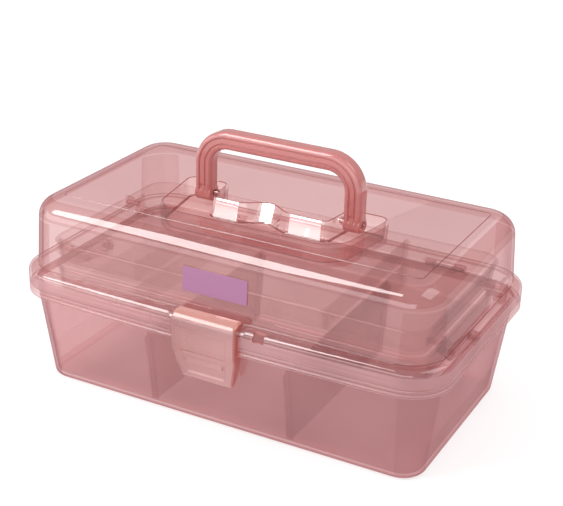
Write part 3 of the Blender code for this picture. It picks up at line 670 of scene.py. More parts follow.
def tub_loops():
    """From the underside up the outside, over the rim and down the inside."""
    foot_radius = 4 * MM
    loops = [ring(TUB_FOOT, 9 * MM, 0.5 * MM), ring(TUB_FOOT, 8 * MM, 0)]
    for rise, run in arc(-90, 0, 7):
        loops.append(ring(TUB_FOOT, foot_radius * (1 - run), foot_radius * (1 + rise)))
    for step in range(1, 9):
        share = step / 8
        size = tuple(low + (high - low) * share for low, high in zip(TUB_FOOT, TUB_WALL_TOP))
        z = foot_radius + (TUB_WALL_TOP_Z - 0.8 * MM - foot_radius) * share
        loops.append(ring(size, 0, z, WALL_BOW * share))
    rim_inside = tuple(value - 2 * MM for value in RIM)
    top_z = TUB_WALL_TOP_Z
    loops += rings(TUB_WALL_TOP, WALL_BOW, (-0.25 * MM, top_z - 0.2 * MM), (-0.8 * MM, top_z))
    loops += rings(
        rim_inside, RIM_BOW, (0.4 * MM, top_z), (0, top_z - 0.4 * MM),
        (0, BAND_LOW_Z + 0.3 * MM), (-0.3 * MM, BAND_LOW_Z),
    )
    band = (  # inset and height up the outside of the rim: a lip, a shallow channel and a ridge
        (0.8, 70.0), (0.23, 70.23), (0.0, 70.8), (0.0, 71.8), (0.15, 72.1), (0.6, 72.4), (0.75, 72.8),
        (0.75, 73.9), (0.6, 74.3), (0.15, 74.6), (0.0, 74.9), (0.0, 75.2), (0.23, 75.77), (0.8, 76.0),
    )
    loops += rings(RIM, RIM_BOW, *(mm(*station) for station in band))
    inner_top = tuple(value - WALL for value in TUB_WALL_TOP)
    inner_foot = tuple(value - WALL for value in TUB_FOOT)
    loops += rings(
        TUB_WALL_TOP, WALL_BOW, (-0.3 * MM, PART_Z), (0, PART_Z + 0.3 * MM),
        (0, TONGUE_Z - 0.5 * MM), (0.5 * MM, TONGUE_Z),
    )
    loops += rings(inner_top, WALL_BOW, (-0.5 * MM, TONGUE_Z), (0, TONGUE_Z - 0.5 * MM), (0, top_z))
    floor_radius = 2.4 * MM
    for step in range(1, 8):
        share = 1 - step / 8
        size = tuple(low + (high - low) * share for low, high in zip(inner_foot, inner_top))
        z = TUB_FLOOR + floor_radius + (TUB_WALL_TOP_Z - TUB_FLOOR - floor_radius) * share
        loops.append(ring(size, 0, z, WALL_BOW * share))
    for rise, run in arc(0, -90, 5):
        loops.append(ring(inner_foot, floor_radius * (1 - run), TUB_FLOOR + floor_radius * (1 + rise)))
    return loops


def divider_guides(middle_x, levels, thick=1.3 * MM, reach=2.4 * MM, root=0.6 * MM):
    """Ribs on both long walls that hold a divider upright; levels holds (z, depth of the wall)."""
    guides = []
    near = DIVIDER_THICK / 2 + GAP
    for side in (-1, 1):
        for flank in (-1, 1):
            inner, outer = middle_x + flank * near, middle_x + flank * (near + thick)
            loops = []
            for z, depth in levels:
                far, tip = side * (depth + root), side * (depth - reach)
                loops.append(level(((inner, far), (outer, far), (outer, tip), (inner, tip)), z))
            body = loft(loops)
            round_edges(body, 0.25 * MM)
            guides.append(body)
    return guides


def hinge_rods(spans, radius, margin=0.0, edge=0.0):
    """Cylinders on the hinge line, one for each span of each hinge, longer by margin at both ends."""
    return [
        rod(middle + start - margin, middle + end + margin, HINGE_Y, HINGE_Z, radius, edge)
        for middle in HINGE_MIDDLES
        for start, end in spans
    ]


LID_KNUCKLES = ((-KNUCKLE_HALF, KNUCKLE_HALF),)
TUB_KNUCKLES = ((-KNUCKLE_END, -KNUCKLE_HALF - KNUCKLE_GAP), (KNUCKLE_HALF + KNUCKLE_GAP, KNUCKLE_END))


def rim_inset(place):
    """How far inside the rim's outline a place lies, in plan."""
    half_x, half_y, corner = RIM
    bow = RIM_BOW * (1 - (place.x / half_x) ** 2) * abs(place.y) / half_y
    away_x = abs(place.x) - (half_x - corner)
    away_y = abs(place.y) - bow - (half_y - corner)
    outside = sqrt(max(away_x, 0) ** 2 + max(away_y, 0) ** 2)
    return corner - outside - min(0, max(away_x, away_y))


def is_rim_edge(place, normal):
    """The rounded edges of the rim's bands, which catch the light: their lighter, milkier plastic is a
    painted highlight.
    """
    on_rim = rim_inset(place) < 1.2 * MM
    return on_rim and BAND_LOW_Z - 1 * MM < place.z < PART_Z + 2 * MM and 0.3 < abs(normal.z) < 0.95


def is_inside(place, normal):
    """The inner faces of the case's walls, floor and ceiling."""
    if abs(place.x) < 150 * MM and abs(place.y) < 80 * MM:
        on_ceiling = LID_CEILING_Z > place.z > 120 * MM and normal.z < -0.5
        return on_ceiling or place.z < TUB_FLOOR + 3 * MM and normal.z > 0
    return normal.x * place.x / RIM[0] + normal.y * place.y / RIM[1] < -0.05


def is_foot(place, normal):
    """The tub's rounded foot, where the light runs along its floor."""
    outward = normal.x * place.x + normal.y * place.y > 0
    return place.z < 4.2 * MM and outward and -0.995 < normal.z < -0.02


def is_corner(place, normal):
    """The outer faces of the case's upright corners and of the lid's rounded top, which look deep."""
    outward = normal.x * place.x / RIM[0] + normal.y * place.y / RIM[1] > 0
    if not outward or BAND_LOW_Z < place.z < FLANGE_TOP_Z + 1.5 * MM:
        return False
    if place.z > LID_TOP_Z - LID_EDGE_RADIUS:
        beside_panel = abs(place.x) > PANEL[0] + 2 * MM or abs(place.y) > PANEL[1] + 2 * MM
        return beside_panel and 0.1 < normal.z < 0.96
    at_corner = abs(place.x) > 125 * MM and abs(place.y) > 50 * MM
    return at_corner and min(abs(normal.x), abs(normal.y)) > 0.12 and abs(normal.z) < 0.3


def is_band(place, normal):
    """The lid's skirt, between its bead and the parting line."""
    on_rim = rim_inset(place) < 0.6 * MM
    return on_rim and PART_Z + 1 * MM < place.z < FLANGE_TOP_Z - 4.8 * MM and abs(normal.z) < 0.3


def is_notch(place, normal):
    """The walls of the padlock notch."""
    low, high = PADLOCK_NOTCH
    across = low[0] - 0.4 * MM < place.x < high[0] + 0.4 * MM
    inside = across and place.y < high[1] + 0.3 * MM and low[2] - 0.3 * MM < place.z < high[2] - 1 * MM
    return inside and (abs(normal.x) > 0.5 or place.y > high[1] - 0.6 * MM)


def make_tub(plastics):
    """The tub with its banded rim, knuckles, arm bosses, divider guides and keeper."""
    tub = piece("tub", "base", loft(tub_loops()), plastics["tub"], ["base_tub"])
    levels = [(z, tub_wall_inside(z)) for z in (TUB_FLOOR - 1 * MM, TUB_DIVIDER_TOP - 4 * MM)]
    guides = divider_guides(-TUB_DIVIDER_X, levels) + divider_guides(TUB_DIVIDER_X, levels)
    pivot_y, pivot_z = HINGE_Y + ARM_SHIFT[0], HINGE_Z + ARM_SHIFT[1]
    bosses = side_rods(ARM_FACES[1] + 0.8 * MM, 158 * MM, pivot_y, pivot_z, 5 * MM)
    boss_holes = side_rods(150 * MM, 156.6 * MM, pivot_y, pivot_z, PIVOT_RADIUS + GAP)
    keeper = soft_box(mm(-15, -92, 60.5), mm(15, -87, 66), 0.6 * MM)
    bay_half = LATCH_HALF + 0.6 * MM
    bay = soft_box(
        (-bay_half, -103 * MM, BAND_LOW_Z - 1 * MM), (bay_half, -90 * MM, PART_Z + 1 * MM), 0,
    )
    clearances = hinge_rods(LID_KNUCKLES, KNUCKLE_RADIUS + KNUCKLE_GAP, KNUCKLE_GAP)
    carve(tub, merge(clearances + [bay]), "DIFFERENCE")
    carve(tub, merge(hinge_rods(TUB_KNUCKLES, KNUCKLE_RADIUS, edge=0.4 * MM)), "UNION")
    carve(tub, merge(guides + bosses + [keeper]), "UNION")
    bores = hinge_rods(((-KNUCKLE_END, KNUCKLE_END),), HINGE_PIN_RADIUS + GAP, 6 * MM)
    carve(tub, merge(bores + boss_holes), "DIFFERENCE")
    dress_faces(tub, plastics, {
        "tub_inner": is_inside, "tub_corner": is_corner, "foot": is_foot, "painted_highlight_edge": is_rim_edge,
    })
    finish_edges(tub)


def make_plate(name, body, outline_loops, material):
    """A thin divider with rounded edges."""
    plate = loft(outline_loops)
    round_edges(plate, 0.5 * MM, 3)
    finish_edges(piece(name + "_plate", body, plate, material, [name]))


def plate_loops(middle_x, levels):
    """The corners of a divider at each (z, half depth)."""
    left, right = middle_x - DIVIDER_THICK / 2, middle_x + DIVIDER_THICK / 2
    return [
        level(((left, -depth), (right, -depth), (right, depth), (left, depth)), z)
        for z, depth in levels
    ]


def make_tub_dividers(material):
    """The two loose plates across the tub."""
    foot_z = TUB_FLOOR + GAP
    levels = [
        (foot_z, tub_wall_inside(foot_z) - 3.1 * MM),
        (foot_z + 3 * MM, tub_wall_inside(foot_z + 3 * MM) - 0.5 * MM),
        (TUB_DIVIDER_TOP, tub_wall_inside(TUB_DIVIDER_TOP) - 0.5 * MM),
    ]
    for word, side in (("left", -1), ("right", 1)):
        make_plate("base_divider_" + word, "base", plate_loops(side * TUB_DIVIDER_X, levels), material)


# ---------------------------------------------------------------- lid


def lid_loops():
    """From the ceiling down the inside, round the skirt's foot, up the outside and over the top."""
    foot_z = PART_Z + GAP
    inner_radius = LID_EDGE_RADIUS - WALL
    loops = rings(LID_WALL_HEAD, WALL_BOW, *(
        (WALL + inner_radius * (1 - run), LID_CEILING_Z - inner_radius * (1 - rise))
        for rise, run in arc(90, 0, 9)
    ))
    loops += rings(
        LID_WALL_FOOT, WALL_BOW,
        (WALL, 89.4 * MM), (WALL - 0.5 * MM, 88.3 * MM), (WALL - 1.6 * MM, 87.9 * MM),
    )
    loops += rings(
        RIM, RIM_BOW, mm(3.2, 87.8), mm(2.3, 87.3), mm(2, 86.2),
        (2 * MM, foot_z + 0.3 * MM), (1.7 * MM, foot_z), (0.8 * MM, foot_z),
        (0.23 * MM, foot_z + 0.23 * MM), (0, foot_z + 0.8 * MM),
    )
    bead = mm(5.0, 5.0)
    for rise, run in arc(0, 90, 9):
        loops.append(ring(RIM, bead[0] * (1 - run), FLANGE_TOP_Z - bead[1] * (1 - rise), RIM_BOW))
    cove = 1.4 * MM
    for rise, run in arc(0, 90, 5):
        loops.append(ring(LID_WALL_FOOT, -cove * (1 - rise), FLANGE_TOP_Z + cove * (1 - run), WALL_BOW))
    for rise, run in arc(0, 90, 16):
        z = LID_TOP_Z - LID_EDGE_RADIUS * (1 - rise)
        loops.append(ring(LID_WALL_HEAD, LID_EDGE_RADIUS * (1 - run), z, WALL_BOW))
    step = ((-1.05, -0.0), (-0.75, 0.12), (-0.55, 0.45), (-0.3, 0.68), (0.1, 0.8))
    loops += [ring(PANEL, inset * MM, LID_TOP_Z + rise * MM) for inset, rise in step]
    return loops


def well_outline(depth):
    """The handle well in plan; depth runs from 0 at the lid's top to 1 at the well's floor."""
    draft = WELL_DRAFT * depth
    front = WELL_Y[0] + draft
    back = WELL_Y[1] - draft
    tongue_y = TONGUE_FRONT_Y[0] + (TONGUE_FRONT_Y[1] - TONGUE_FRONT_Y[0]) * depth
    notch_middle, notch_half = FINGER_NOTCH
    notch_depth = FINGER_NOTCH_DEPTH[0] + (FINGER_NOTCH_DEPTH[1] - FINGER_NOTCH_DEPTH[0]) * depth
    right = [
        (60 * MM, front, 14 * MM),
        (73 * MM - draft, -36 * MM, 12 * MM),
        (WELL_HALF - draft, back, 6 * MM),
        (50 * MM + draft, back, 4.5 * MM),
        (TONGUE_HALF + draft, tongue_y, 5 * MM),
    ]
    count = 32
    scoop = []
    for step in range(count + 1):
        away = notch_half * (1 - 2 * step / count)
        dip = notch_depth * (1 + cos(pi * away / notch_half)) / 2
        scoop.append((notch_middle + away, tongue_y + dip, 0))
    left = [(-x, y, radius) for x, y, radius in reversed(right)]
    return rounded_outline(right + scoop + left)


def well_cavity():
    """The space of the handle well: a rounded rim, drafted walls and a rounded floor edge."""
    top = LID_TOP_Z + PANEL_RISE + 0.02 * MM
    lip = 1.1 * MM
    floor_edge = 2.2 * MM
    depth_of = lambda z: max(0.0, (LID_TOP_Z - z) / (LID_TOP_Z - WELL_FLOOR_Z))
    loops = [level(grown(well_outline(0), lip), top + 5 * MM)]
    for rise, run in arc(0, 90, 6):
        loops.append(level(grown(well_outline(0), lip * (1 - rise)), top - lip * (1 - run)))
    for step in range(1, 5):
        z = LID_TOP_Z + (WELL_FLOOR_Z + floor_edge - LID_TOP_Z) * step / 5
        loops.append(level(well_outline(depth_of(z)), z))
    for rise, run in arc(0, 80, 5):
        z = WELL_FLOOR_Z + floor_edge * (1 - rise)
        loops.append(level(grown(well_outline(depth_of(z)), -floor_edge * (1 - run)), z))
    return loft(loops)


def in_well(place):
    """Whether a place lies within the handle well, in plan."""
    return abs(place.x) < WELL_HALF + 1 * MM and WELL_Y[0] - 0.4 * MM < place.y < WELL_Y[1] + 0.5 * MM


def is_fine_line(place, normal):
    """The panel's step, the well's rim, the foot of the tongue and the cove over the flange."""
    if place.z > LID_TOP_Z - 0.9 * MM:
        return 0.2 < normal.z < 0.88
    if in_well(place):
        return WELL_FLOOR_Z < place.z < WELL_FLOOR_Z + 1.6 * MM and 0.3 < normal.z < 0.85
    in_cove = FLANGE_TOP_Z < place.z < FLANGE_TOP_Z + 1.4 * MM and 0.2 < normal.z < 0.8
    return in_cove and place.y < 40 * MM and place.x > -150 * MM


def is_tongue_wall(place, normal):
    """The polished stretches of the wall under the tongue's wavy edge, which mirror the light."""
    polished = any(low < place.x < high for low, high in TONGUE_POLISH)
    on_wall = -16 * MM < place.y < 0 and WELL_FLOOR_Z + 1 * MM < place.z < LID_TOP_Z
    return polished and on_wall and normal.y < -0.3 and abs(normal.z) < 0.5


def is_well_floor(place, normal):
    """The floor of the handle well and its rounded edge."""
    return in_well(place) and WELL_FLOOR_Z - 1 * MM < place.z < WELL_FLOOR_Z + 1 * MM and normal.z > 0.8


def lid_bosses():
    """The bosses of the trays' and the handle's pins, all pin holes, and the ears over low bosses."""
    bosses = []
    holes = []
    ears = []
    for side in (-1, 1):
        for _, _, (y, z) in TRAYS.values():
            bosses.append(rod(side * 148.7 * MM, side * 156.7 * MM, y, z, BOSS_RADIUS))
            holes.append(rod(side * 146 * MM, side * 154 * MM, y, z, PIVOT_RADIUS + GAP))
            if z < FLANGE_TOP_Z:
                low_x, high_x = sorted((side * 153 * MM, side * 156.5 * MM))
                low = (low_x, y - BOSS_RADIUS, z - BOSS_RADIUS)
                ears.append(soft_box(low, (high_x, y + BOSS_RADIUS, FLANGE_TOP_Z + 6 * MM), 0))
        bosses.append(rod(side * 45 * MM, side * 52.6 * MM, HANDLE_Y, HANDLE_Z, 3 * MM))
        holes.append(rod(side * 49 * MM, side * 60 * MM, HANDLE_Y, HANDLE_Z, HANDLE_PIN_RADIUS + GAP))
    holes.append(rod(-29 * MM, 29 * MM, LATCH_Y, LATCH_Z, LATCH_PIN_RADIUS + GAP))
    holes += hinge_rods(((-KNUCKLE_END, KNUCKLE_END),), HINGE_PIN_RADIUS + GAP, 6 * MM)
    return bosses, holes, ears


def make_lid(plastics):
    """The lid with its handle well, latch lugs, knuckles and tray bosses."""
    lid = piece("lid", "lid", loft(lid_loops()), plastics["lid"], ["lid_shell"])
    basin = loft([
        level(grown(well_outline(depth), WELL_WALL), z)
        for depth, z in ((0, LID_TOP_Z - 1.2 * MM), (1, WELL_FLOOR_Z - WELL_WALL))
    ])
    bay_half = LATCH_HALF + 0.5 * MM
    latch_bay = soft_box((-bay_half, -104 * MM, PART_Z - 1 * MM), (bay_half, -88.35 * MM, 91.4 * MM), 0)
    padlock_notch = soft_box(*PADLOCK_NOTCH, 0.8 * MM)
    lugs = []
    for side in (-1, 1):
        low_x, high_x = sorted((side * bay_half, side * LUG_END))
        lugs.append(soft_box((low_x, -96.4 * MM, 81 * MM), (high_x, -88 * MM, 89.2 * MM), 0.3 * MM))
    bosses, holes, ears = lid_bosses()
    clearances = hinge_rods(TUB_KNUCKLES, KNUCKLE_RADIUS + KNUCKLE_GAP, KNUCKLE_GAP)

    carve(lid, basin, "UNION")
    carve(lid, well_cavity(), "DIFFERENCE")
    carve(lid, merge(clearances + [latch_bay, padlock_notch]), "DIFFERENCE")
    knuckles = hinge_rods(LID_KNUCKLES, KNUCKLE_RADIUS, edge=0.4 * MM)
    carve(lid, merge(lugs + knuckles + ears), "UNION")
    carve(lid, merge(bosses), "UNION")
    carve(lid, merge(holes), "DIFFERENCE")
    dress_faces(lid, plastics, {
        "lid_inner": is_inside, "lid_corner": is_corner, "band": is_band, "well": is_well_floor,
        "line": is_fine_line, "flank": is_notch, "mirror": is_tongue_wall, "painted_highlight_edge": is_rim_edge,
    })
    finish_edges(lid)


def make_label(material):
    """A blank sticker on the lid's front wall, with its corners rounded."""
    width, height, thick = LABEL_SIZE
    middle_x, middle_z = LABEL_MIDDLE
    slope = atan2(2.0, 34.0)
    wall_y = -88.25 * MM + (middle_z - 92 * MM) * tan(slope)
    outline = rounded_outline([
        (width / 2, -height / 2, 1 * MM), (width / 2, height / 2, 1 * MM),
        (-width / 2, height / 2, 1 * MM), (-width / 2, -height / 2, 1 * MM),
    ], 15)
    loops = []
    for depth, inset in ((-GAP - 0.1 * MM, 0), (-GAP - 0.7 * thick, 0), (-GAP - thick, 0.15 * MM)):
        loops.append([
            (middle_x + x, wall_y + depth * cos(slope) + z * sin(slope), middle_z + z * cos(slope))
            for x, z in grown(outline, -inset)
        ])
    piece("label", "lid", loft(loops), material, ["front_label"])


# ---------------------------------------------------------------- handle


def handle_section():
    """The bail's section as (across, front to back): rounded, with two grooves on each face."""
    half_w, half_d = HANDLE_BAR[0] / 2, HANDLE_BAR[1] / 2
    corner = 3.4 * MM
    groove_at, groove_half, groove_depth = HANDLE_GROOVE
    reach = half_w - corner
    steps = 40
    face = []
    for step in range(steps):
        u = reach * (2 * step / steps - 1)
        near = abs(abs(u) - groove_at)
        dip = groove_depth * (1 - smooth_step(0.2 * groove_half, groove_half, near))
        face.append((u, half_d - dip))
    bends = [
        (half_w - corner + corner * rise, half_d - corner + corner * run) for rise, run in arc(0, 90, 7)
    ]
    side = [(x, -y) for x, y in reversed(bends)]
    half = face + bends + side[:-1]
    return half + [(-x, -y) for x, y in half]


def bail_stations():
    """Points along the middle of the bail, each with the direction across it, in x and z."""
    half_bar = HANDLE_BAR[0] / 2
    side_x = HANDLE_HALF - half_bar
    top_z = HANDLE_TOP_Z - half_bar
    radius = HANDLE_CORNER - half_bar
    rise = top_z - radius - HANDLE_Z
    stations = [((-side_x, HANDLE_Z + rise * step / 6), (-1, 0)) for step in range(6)]
    for corner_x, start in ((-side_x + radius, pi), (side_x - radius, pi / 2)):
        for step in range(21):
            turn = start - pi / 2 * step / 20
            across = (cos(turn), sin(turn))
            place = (corner_x + radius * across[0], top_z - radius + radius * across[1])
            stations.append((place, across))
    stations += [((side_x, HANDLE_Z + rise * (5 - step) / 6), (1, 0)) for step in range(6)]
    return stations


def is_groove(place, normal):
    """The sides and beds of the grooves along the bail's front and back."""
    depth = abs(place.y - HANDLE_Y)
    if place.z < HANDLE_Z + 8.5 * MM:
        return False
    return HANDLE_BAR[1] / 2 - 1.2 * MM < depth < HANDLE_BAR[1] / 2 - 0.12 * MM and abs(normal.y) > 0.3


def make_handle(plastics):
    """The carrying bail with grooved faces, round feet and a dimple on each leg."""
    section = handle_section()
    loops = [
        [(x + u * across[0], HANDLE_Y + v, z + u * across[1]) for u, v in section]
        for (x, z), across in bail_stations()
    ]
    handle = piece("handle_bail", "handle", loft(loops), plastics["bail"], ["handle"])
    width, depth = HANDLE_BAR
    feet = []
    holes = []
    for side in (-1, 1):
        inner, outer = HANDLE_HALF - width, HANDLE_HALF
        feet.append(rod(
            side * (inner + 0.2 * MM), side * (outer - 0.2 * MM), HANDLE_Y, HANDLE_Z, depth / 2, 0.8 * MM,
        ))
        holes.append(rod(
            side * (inner - 6 * MM), side * (outer + 6 * MM), HANDLE_Y, HANDLE_Z, HANDLE_PIN_RADIUS + GAP,
        ))
        middle_x, front_y = side * (inner + outer) / 2, HANDLE_Y - depth / 2
        dimple = ((front_y - 1 * MM, 3.0 * MM), (front_y, 2.6 * MM), (front_y + 0.9 * MM, 1.9 * MM))
        holes.append(loft([
            [(middle_x + size * cos(turn), y, HANDLE_Z + 5 * MM + size * sin(turn)) for turn in ROUND_TURNS]
            for y, size in dimple
        ]))
    carve(handle, merge(feet), "UNION")
    carve(handle, merge(holes), "DIFFERENCE")
    dress_faces(handle, plastics, {"groove": is_groove})
    finish_edges(handle, sharp=40)


# ---------------------------------------------------------------- latch


def latch_profile():
    """Points (y, z, outward y, outward z) down the latch's outer face, from its back edge to its foot."""
    radius = LATCH_Y - LATCH_FACE_Y
    high = radius - 0.2 * MM
    top_z = LATCH_Z + radius - 0.2 * MM
    points = [(LATCH_Y + 4.2 * MM - 1.4 * MM * step, top_z, 0, 1) for step in range(3)]
    for rise, run in arc(90, 0, 12):
        points.append((LATCH_Y - radius * run, LATCH_Z + high * rise, -run, rise))
    lean = 6 / 26.5
    length = sqrt(1 + lean * lean)
    for step in range(1, 9):
        points.append((LATCH_FACE_Y, LATCH_Z + (LATCH_BEND_Z - LATCH_Z) * step / 8, -1, 0))
    count = 40
    for step in range(1, count + 1):
        drop = (LATCH_BEND_Z - LATCH_FOOT_Z) * step / count
        points.append((LATCH_FACE_Y + drop * lean, LATCH_BEND_Z - drop, -1 / length, -lean / length))
    return points


def latch_half(z):
    """Half width of the latch at a height."""
    narrow = max(0.0, (64 * MM - z) / (64 * MM - LATCH_FOOT_Z))
    return LATCH_HALF - 5 * MM * narrow


def latch_relief(x, z, half):
    """How far the face is set back at a place: a sunk window with two ledges across it."""
    side = smooth_step(half - 7.0 * MM, half - 5.8 * MM, abs(x))
    top = smooth_step(80.5 * MM, 82.0 * MM, z)
    foot = 1 - smooth_step(47.2 * MM, 48.6 * MM, z)
    window = (1 - side) * (1 - top) * (1 - foot)
    sunk = 1.1 * MM * window
    for ledge in LATCH_LEDGES:
        sunk += 0.6 * MM * window * (1 - smooth_step(0.0, 1.0 * MM, abs(z - ledge) - 0.2 * MM))
    return sunk


def is_latch_flank(place, normal):
    """The outer sides of the latch's thick flanges, seen end on."""
    return normal.x * (1 if place.x > 0 else -1) > 0.6


def is_latch_bend(place, normal):
    """The top of the latch, where it bends over its pin."""
    return place.z > LATCH_Z - 1 * MM and normal.z > 0.5


def is_latch_edge(place, normal):
    """The rounded left and lower edges of the latch's face, which catch the light: their lighter, milkier
    plastic is a painted highlight.
    """
    at_edge = place.x < 1.3 * MM - latch_half(place.z) or place.z < LATCH_FOOT_Z + 1.1 * MM
    return at_edge and place.z < 80 * MM and normal.y < -0.3


def latch_plate():
    """The latch's plate, bent over its pin, with a crowned face and a sunk window."""
    columns = 56
    loops = []
    for y, z, out_y, out_z in latch_profile():
        half = latch_half(z)
        front, rear = [], []
        for step in range(columns + 1):
            x = half * (2 * step / columns - 1)
            edge = half - abs(x)
            crown = 0.9 * MM * (1 - smooth_step(0, 1.4 * MM, edge)) ** 2
            sunk = latch_relief(x, z, half) + crown
            front.append((x, y - out_y * sunk, z - out_z * sunk))
            rear.append((x * (1 - 0.004), y - out_y * LATCH_THICK, z - out_z * LATCH_THICK))
        loops.append(front + list(reversed(rear)))
    return loft(loops)


def latch_flanges():
    """The two thick side flanges behind the plate."""
    flanges = []
    for side in (-1, 1):
        loops = []
        for z in (LATCH_FOOT_Z + 0.3 * MM, *mm(50, 57, 64, 70, 78, 86)):
            half = latch_half(z)
            fall = max(0.0, (LATCH_BEND_Z - z) / (LATCH_BEND_Z - LATCH_FOOT_Z))
            face = LATCH_FACE_Y + 6 * MM * fall
            shorten = 3.4 * MM * (1 - smooth_step(LATCH_FOOT_Z, LATCH_FOOT_Z + 7 * MM, z))
            back = max(face + 8.4 * MM, -91.6 * MM) - shorten
            low_x, high_x = sorted((side * (half - 0.15 * MM), side * (half - 2.0 * MM)))
            front = face + 1.2 * MM
            loops.append(level(((low_x, front), (high_x, front), (high_x, back), (low_x, back)), z))
        flanges.append(loft(loops))
    return flanges


def make_latch(plastics):
    """The latch: a plate, side flanges, the barrel on its pin and the catch."""
    latch = piece("latch_plate", "latch", latch_plate(), plastics["latch"], ["latch"])
    barrel_end = LATCH_HALF - 0.3 * MM
    barrel = rod(-barrel_end, barrel_end, LATCH_Y, LATCH_Z, LATCH_BARREL - 0.1 * MM, 0.6 * MM)
    catch = soft_box(mm(-14, -98.6, 56.4), mm(14, -92.4, 60), 0.4 * MM)
    carve(latch, merge(latch_flanges()), "UNION")
    carve(latch, merge([barrel, catch]), "UNION")
    carve(latch, rod(-30 * MM, 30 * MM, LATCH_Y, LATCH_Z, LATCH_PIN_RADIUS + GAP), "DIFFERENCE")
    tests = {"flank": is_latch_flank, "bend": is_latch_bend, "painted_highlight_edge": is_latch_edge}
    dress_faces(latch, plastics, tests)
    finish_edges(latch, sharp=40)


# ---------------------------------------------------------------- trays and arms


TRAY_SIDE = tuple(value - 1.5 * MM for value in TRAY)
TRAY_FOOT = tuple(value - 3.6 * MM for value in TRAY)


def tray_loops(foot_z, rim_z):
    """From the underside up the outside, over the turned-out rim and down the inside."""
    wall, foot = TRAY_SIDE, TRAY_FOOT
    lip = 1.4 * MM
    floor_z = foot_z + TRAY_WALL
    loops = [ring(foot, 2 * MM * (1 - run), foot_z + 2 * MM * (1 + rise)) for rise, run in arc(-90, 0, 5)]
    under_z = rim_z - lip
    loops += rings(wall, 0, (0.2 * MM, rim_z - lip - 0.2 * MM), (-0.2 * MM, under_z))
    loops += rings(
        TRAY, 0, (0.3 * MM, under_z), (0, rim_z - lip + 0.3 * MM), (0, rim_z - 0.4 * MM), (0.4 * MM, rim_z),
    )
    loops += rings(wall, 0, (TRAY_WALL - 0.4 * MM, rim_z), (TRAY_WALL, rim_z - 0.4 * MM))
    inner_foot = tuple(value - TRAY_WALL for value in foot)
    loops += [
        ring(inner_foot, 2 * MM * (1 - run), floor_z + 2 * MM * (1 + rise))
        for rise, run in arc(0, -90, 5)
    ]
    return loops


def make_tray(name, material):
    """A shallow tray with a turned-out rim, rounded floor, divider guides and pivot holes."""
    foot_z, rim_z, pivot = TRAYS[name]
    floor_z = foot_z + TRAY_WALL
    tray = piece(name + "_shell", name, loft(tray_loops(foot_z, rim_z)), material, [name])
    levels = (
        (floor_z - 0.6 * MM, TRAY_FOOT[1] - TRAY_WALL - 0.2 * MM),
        (rim_z - 3 * MM, TRAY_SIDE[1] - TRAY_WALL - 0.2 * MM),
    )
    guides = divider_guides(-TRAY_DIVIDER_X, levels) + divider_guides(TRAY_DIVIDER_X, levels)
    holes = [
        rod(side * 140 * MM, side * 150 * MM, pivot[0] + shift_y, pivot[1] + shift_z, PIVOT_RADIUS + GAP)
        for side in (-1, 1)
        for shift_y, shift_z in ((0, 0), ARM_SHIFT)
    ]
    carve(tray, merge(guides), "UNION")
    carve(tray, merge(holes), "DIFFERENCE")
    head, depth = PIN_HEAD
    seats = side_rods(140 * MM, TRAY[0] - depth + 0.1 * MM, *pivot, head + GAP)
    carve(tray, merge(seats), "DIFFERENCE")
    finish_edges(tray)
    levels = (
        (floor_z + GAP, TRAY[1] - 6.8 * MM),
        (floor_z + GAP + 2 * MM, TRAY[1] - 5.4 * MM),
        (rim_z - 2 * MM, TRAY[1] - 3.6 * MM),
    )
    for word, side in (("left", -1), ("right", 1)):
        make_plate(f"{name}_divider_{word}", name, plate_loops(side * TRAY_DIVIDER_X, levels), material)


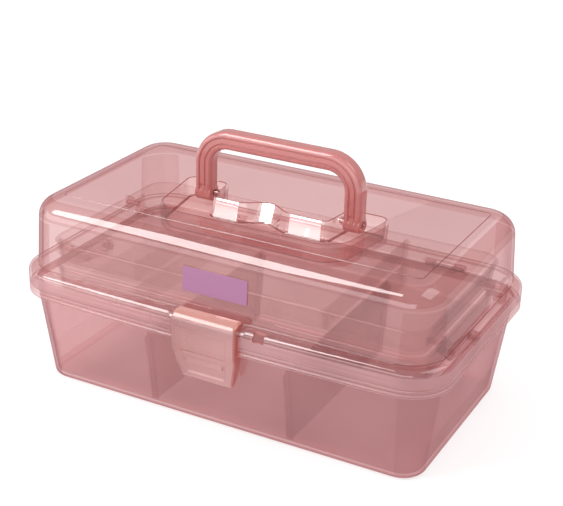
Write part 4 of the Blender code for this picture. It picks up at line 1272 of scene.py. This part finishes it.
def strap_outline(points, half_width):
    """A strap of constant width along points: rounded ends, and one bend at each middle point."""
    path = [Vector(point) for point in points]
    ends = []
    for here, ahead in ((path[0], path[1]), (path[-1], path[-2])):
        away = (here - ahead).normalized()
        start = atan2(away.y, away.x) - pi / 2
        ends.append([
            (here.x + half_width * cos(turn), here.y + half_width * sin(turn))
            for turn in (start + pi * step / 24 for step in range(25))
        ])
    bends = {1: [], -1: []}
    for before, here, after in zip(path, path[1:], path[2:]):
        first, second = (here - before).normalized(), (after - here).normalized()
        mitre = (Vector((-first.y, first.x)) + Vector((-second.y, second.x))).normalized()
        reach = half_width / mitre.dot(Vector((-first.y, first.x)))
        for side in (1, -1):
            bends[side].append(tuple(here + mitre * reach * side))
    return ends[0] + bends[-1] + ends[1] + bends[1]


def make_arm(word, side, material):
    """A cranked support arm with rounded edges and holes at its pivots."""
    pivots = [(HINGE_Y + ARM_SHIFT[0], HINGE_Z + ARM_SHIFT[1])]
    for tray in ("lower_tray", "upper_tray"):
        y, z = TRAYS[tray][2]
        pivots.append((y + ARM_SHIFT[0], z + ARM_SHIFT[1]))
    outline = strap_outline(pivots, ARM_HALF_WIDTH)
    stations = rounded_ends(*ARM_FACES, 0.4 * MM)
    loops = [[(side * x, y, z) for y, z in grown(outline, -inset)] for x, inset in stations]
    name = f"{word}_arm"
    arm = piece(name + "_strap", name, loft(loops), material, ["support_arm_" + word])
    holes = [rod(side * 147 * MM, side * 155 * MM, y, z, PIVOT_RADIUS + GAP) for y, z in pivots]
    carve(arm, merge(holes), "DIFFERENCE")
    finish_edges(arm)


# ---------------------------------------------------------------- the whole box


def dress_cad(plastic, steel):
    """Give the pins, which stay as they are in the CAD, their materials."""
    for name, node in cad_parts.items():
        if "_pin" not in name:
            continue
        wire = name.startswith("hinge_pin") or name == "latch_pin"
        node.data.materials.clear()
        node.data.materials.append(steel if wire else plastic)


make_camera()
make_floor()
make_light()
plastics = {name: clear_plastic(name + "_pink", *values) for name, values in CLEAR.items()}
plastics |= {name: thick_plastic(name + "_pink", *values) for name, values in THICK.items()}
make_tub(plastics)
make_tub_dividers(plastics["divider"])
make_lid(plastics)
make_label(label_film("label_film"))
make_handle(plastics)
make_latch(plastics)
for tray_name in TRAYS:
    make_tray(tray_name, plastics["tray"])
make_arm("left", -1, plastics["tray"])
make_arm("right", 1, plastics["tray"])
dress_cad(plastics["divider"], drawn_steel("drawn_steel"))

bpy.context.scene.view_settings.view_transform = "Standard"
bpy.context.scene.cycles.transparent_max_bounces = 40
bpy.context.scene.cycles.min_transparent_bounces = 20
bpy.context.scene.cycles.max_bounces = 16
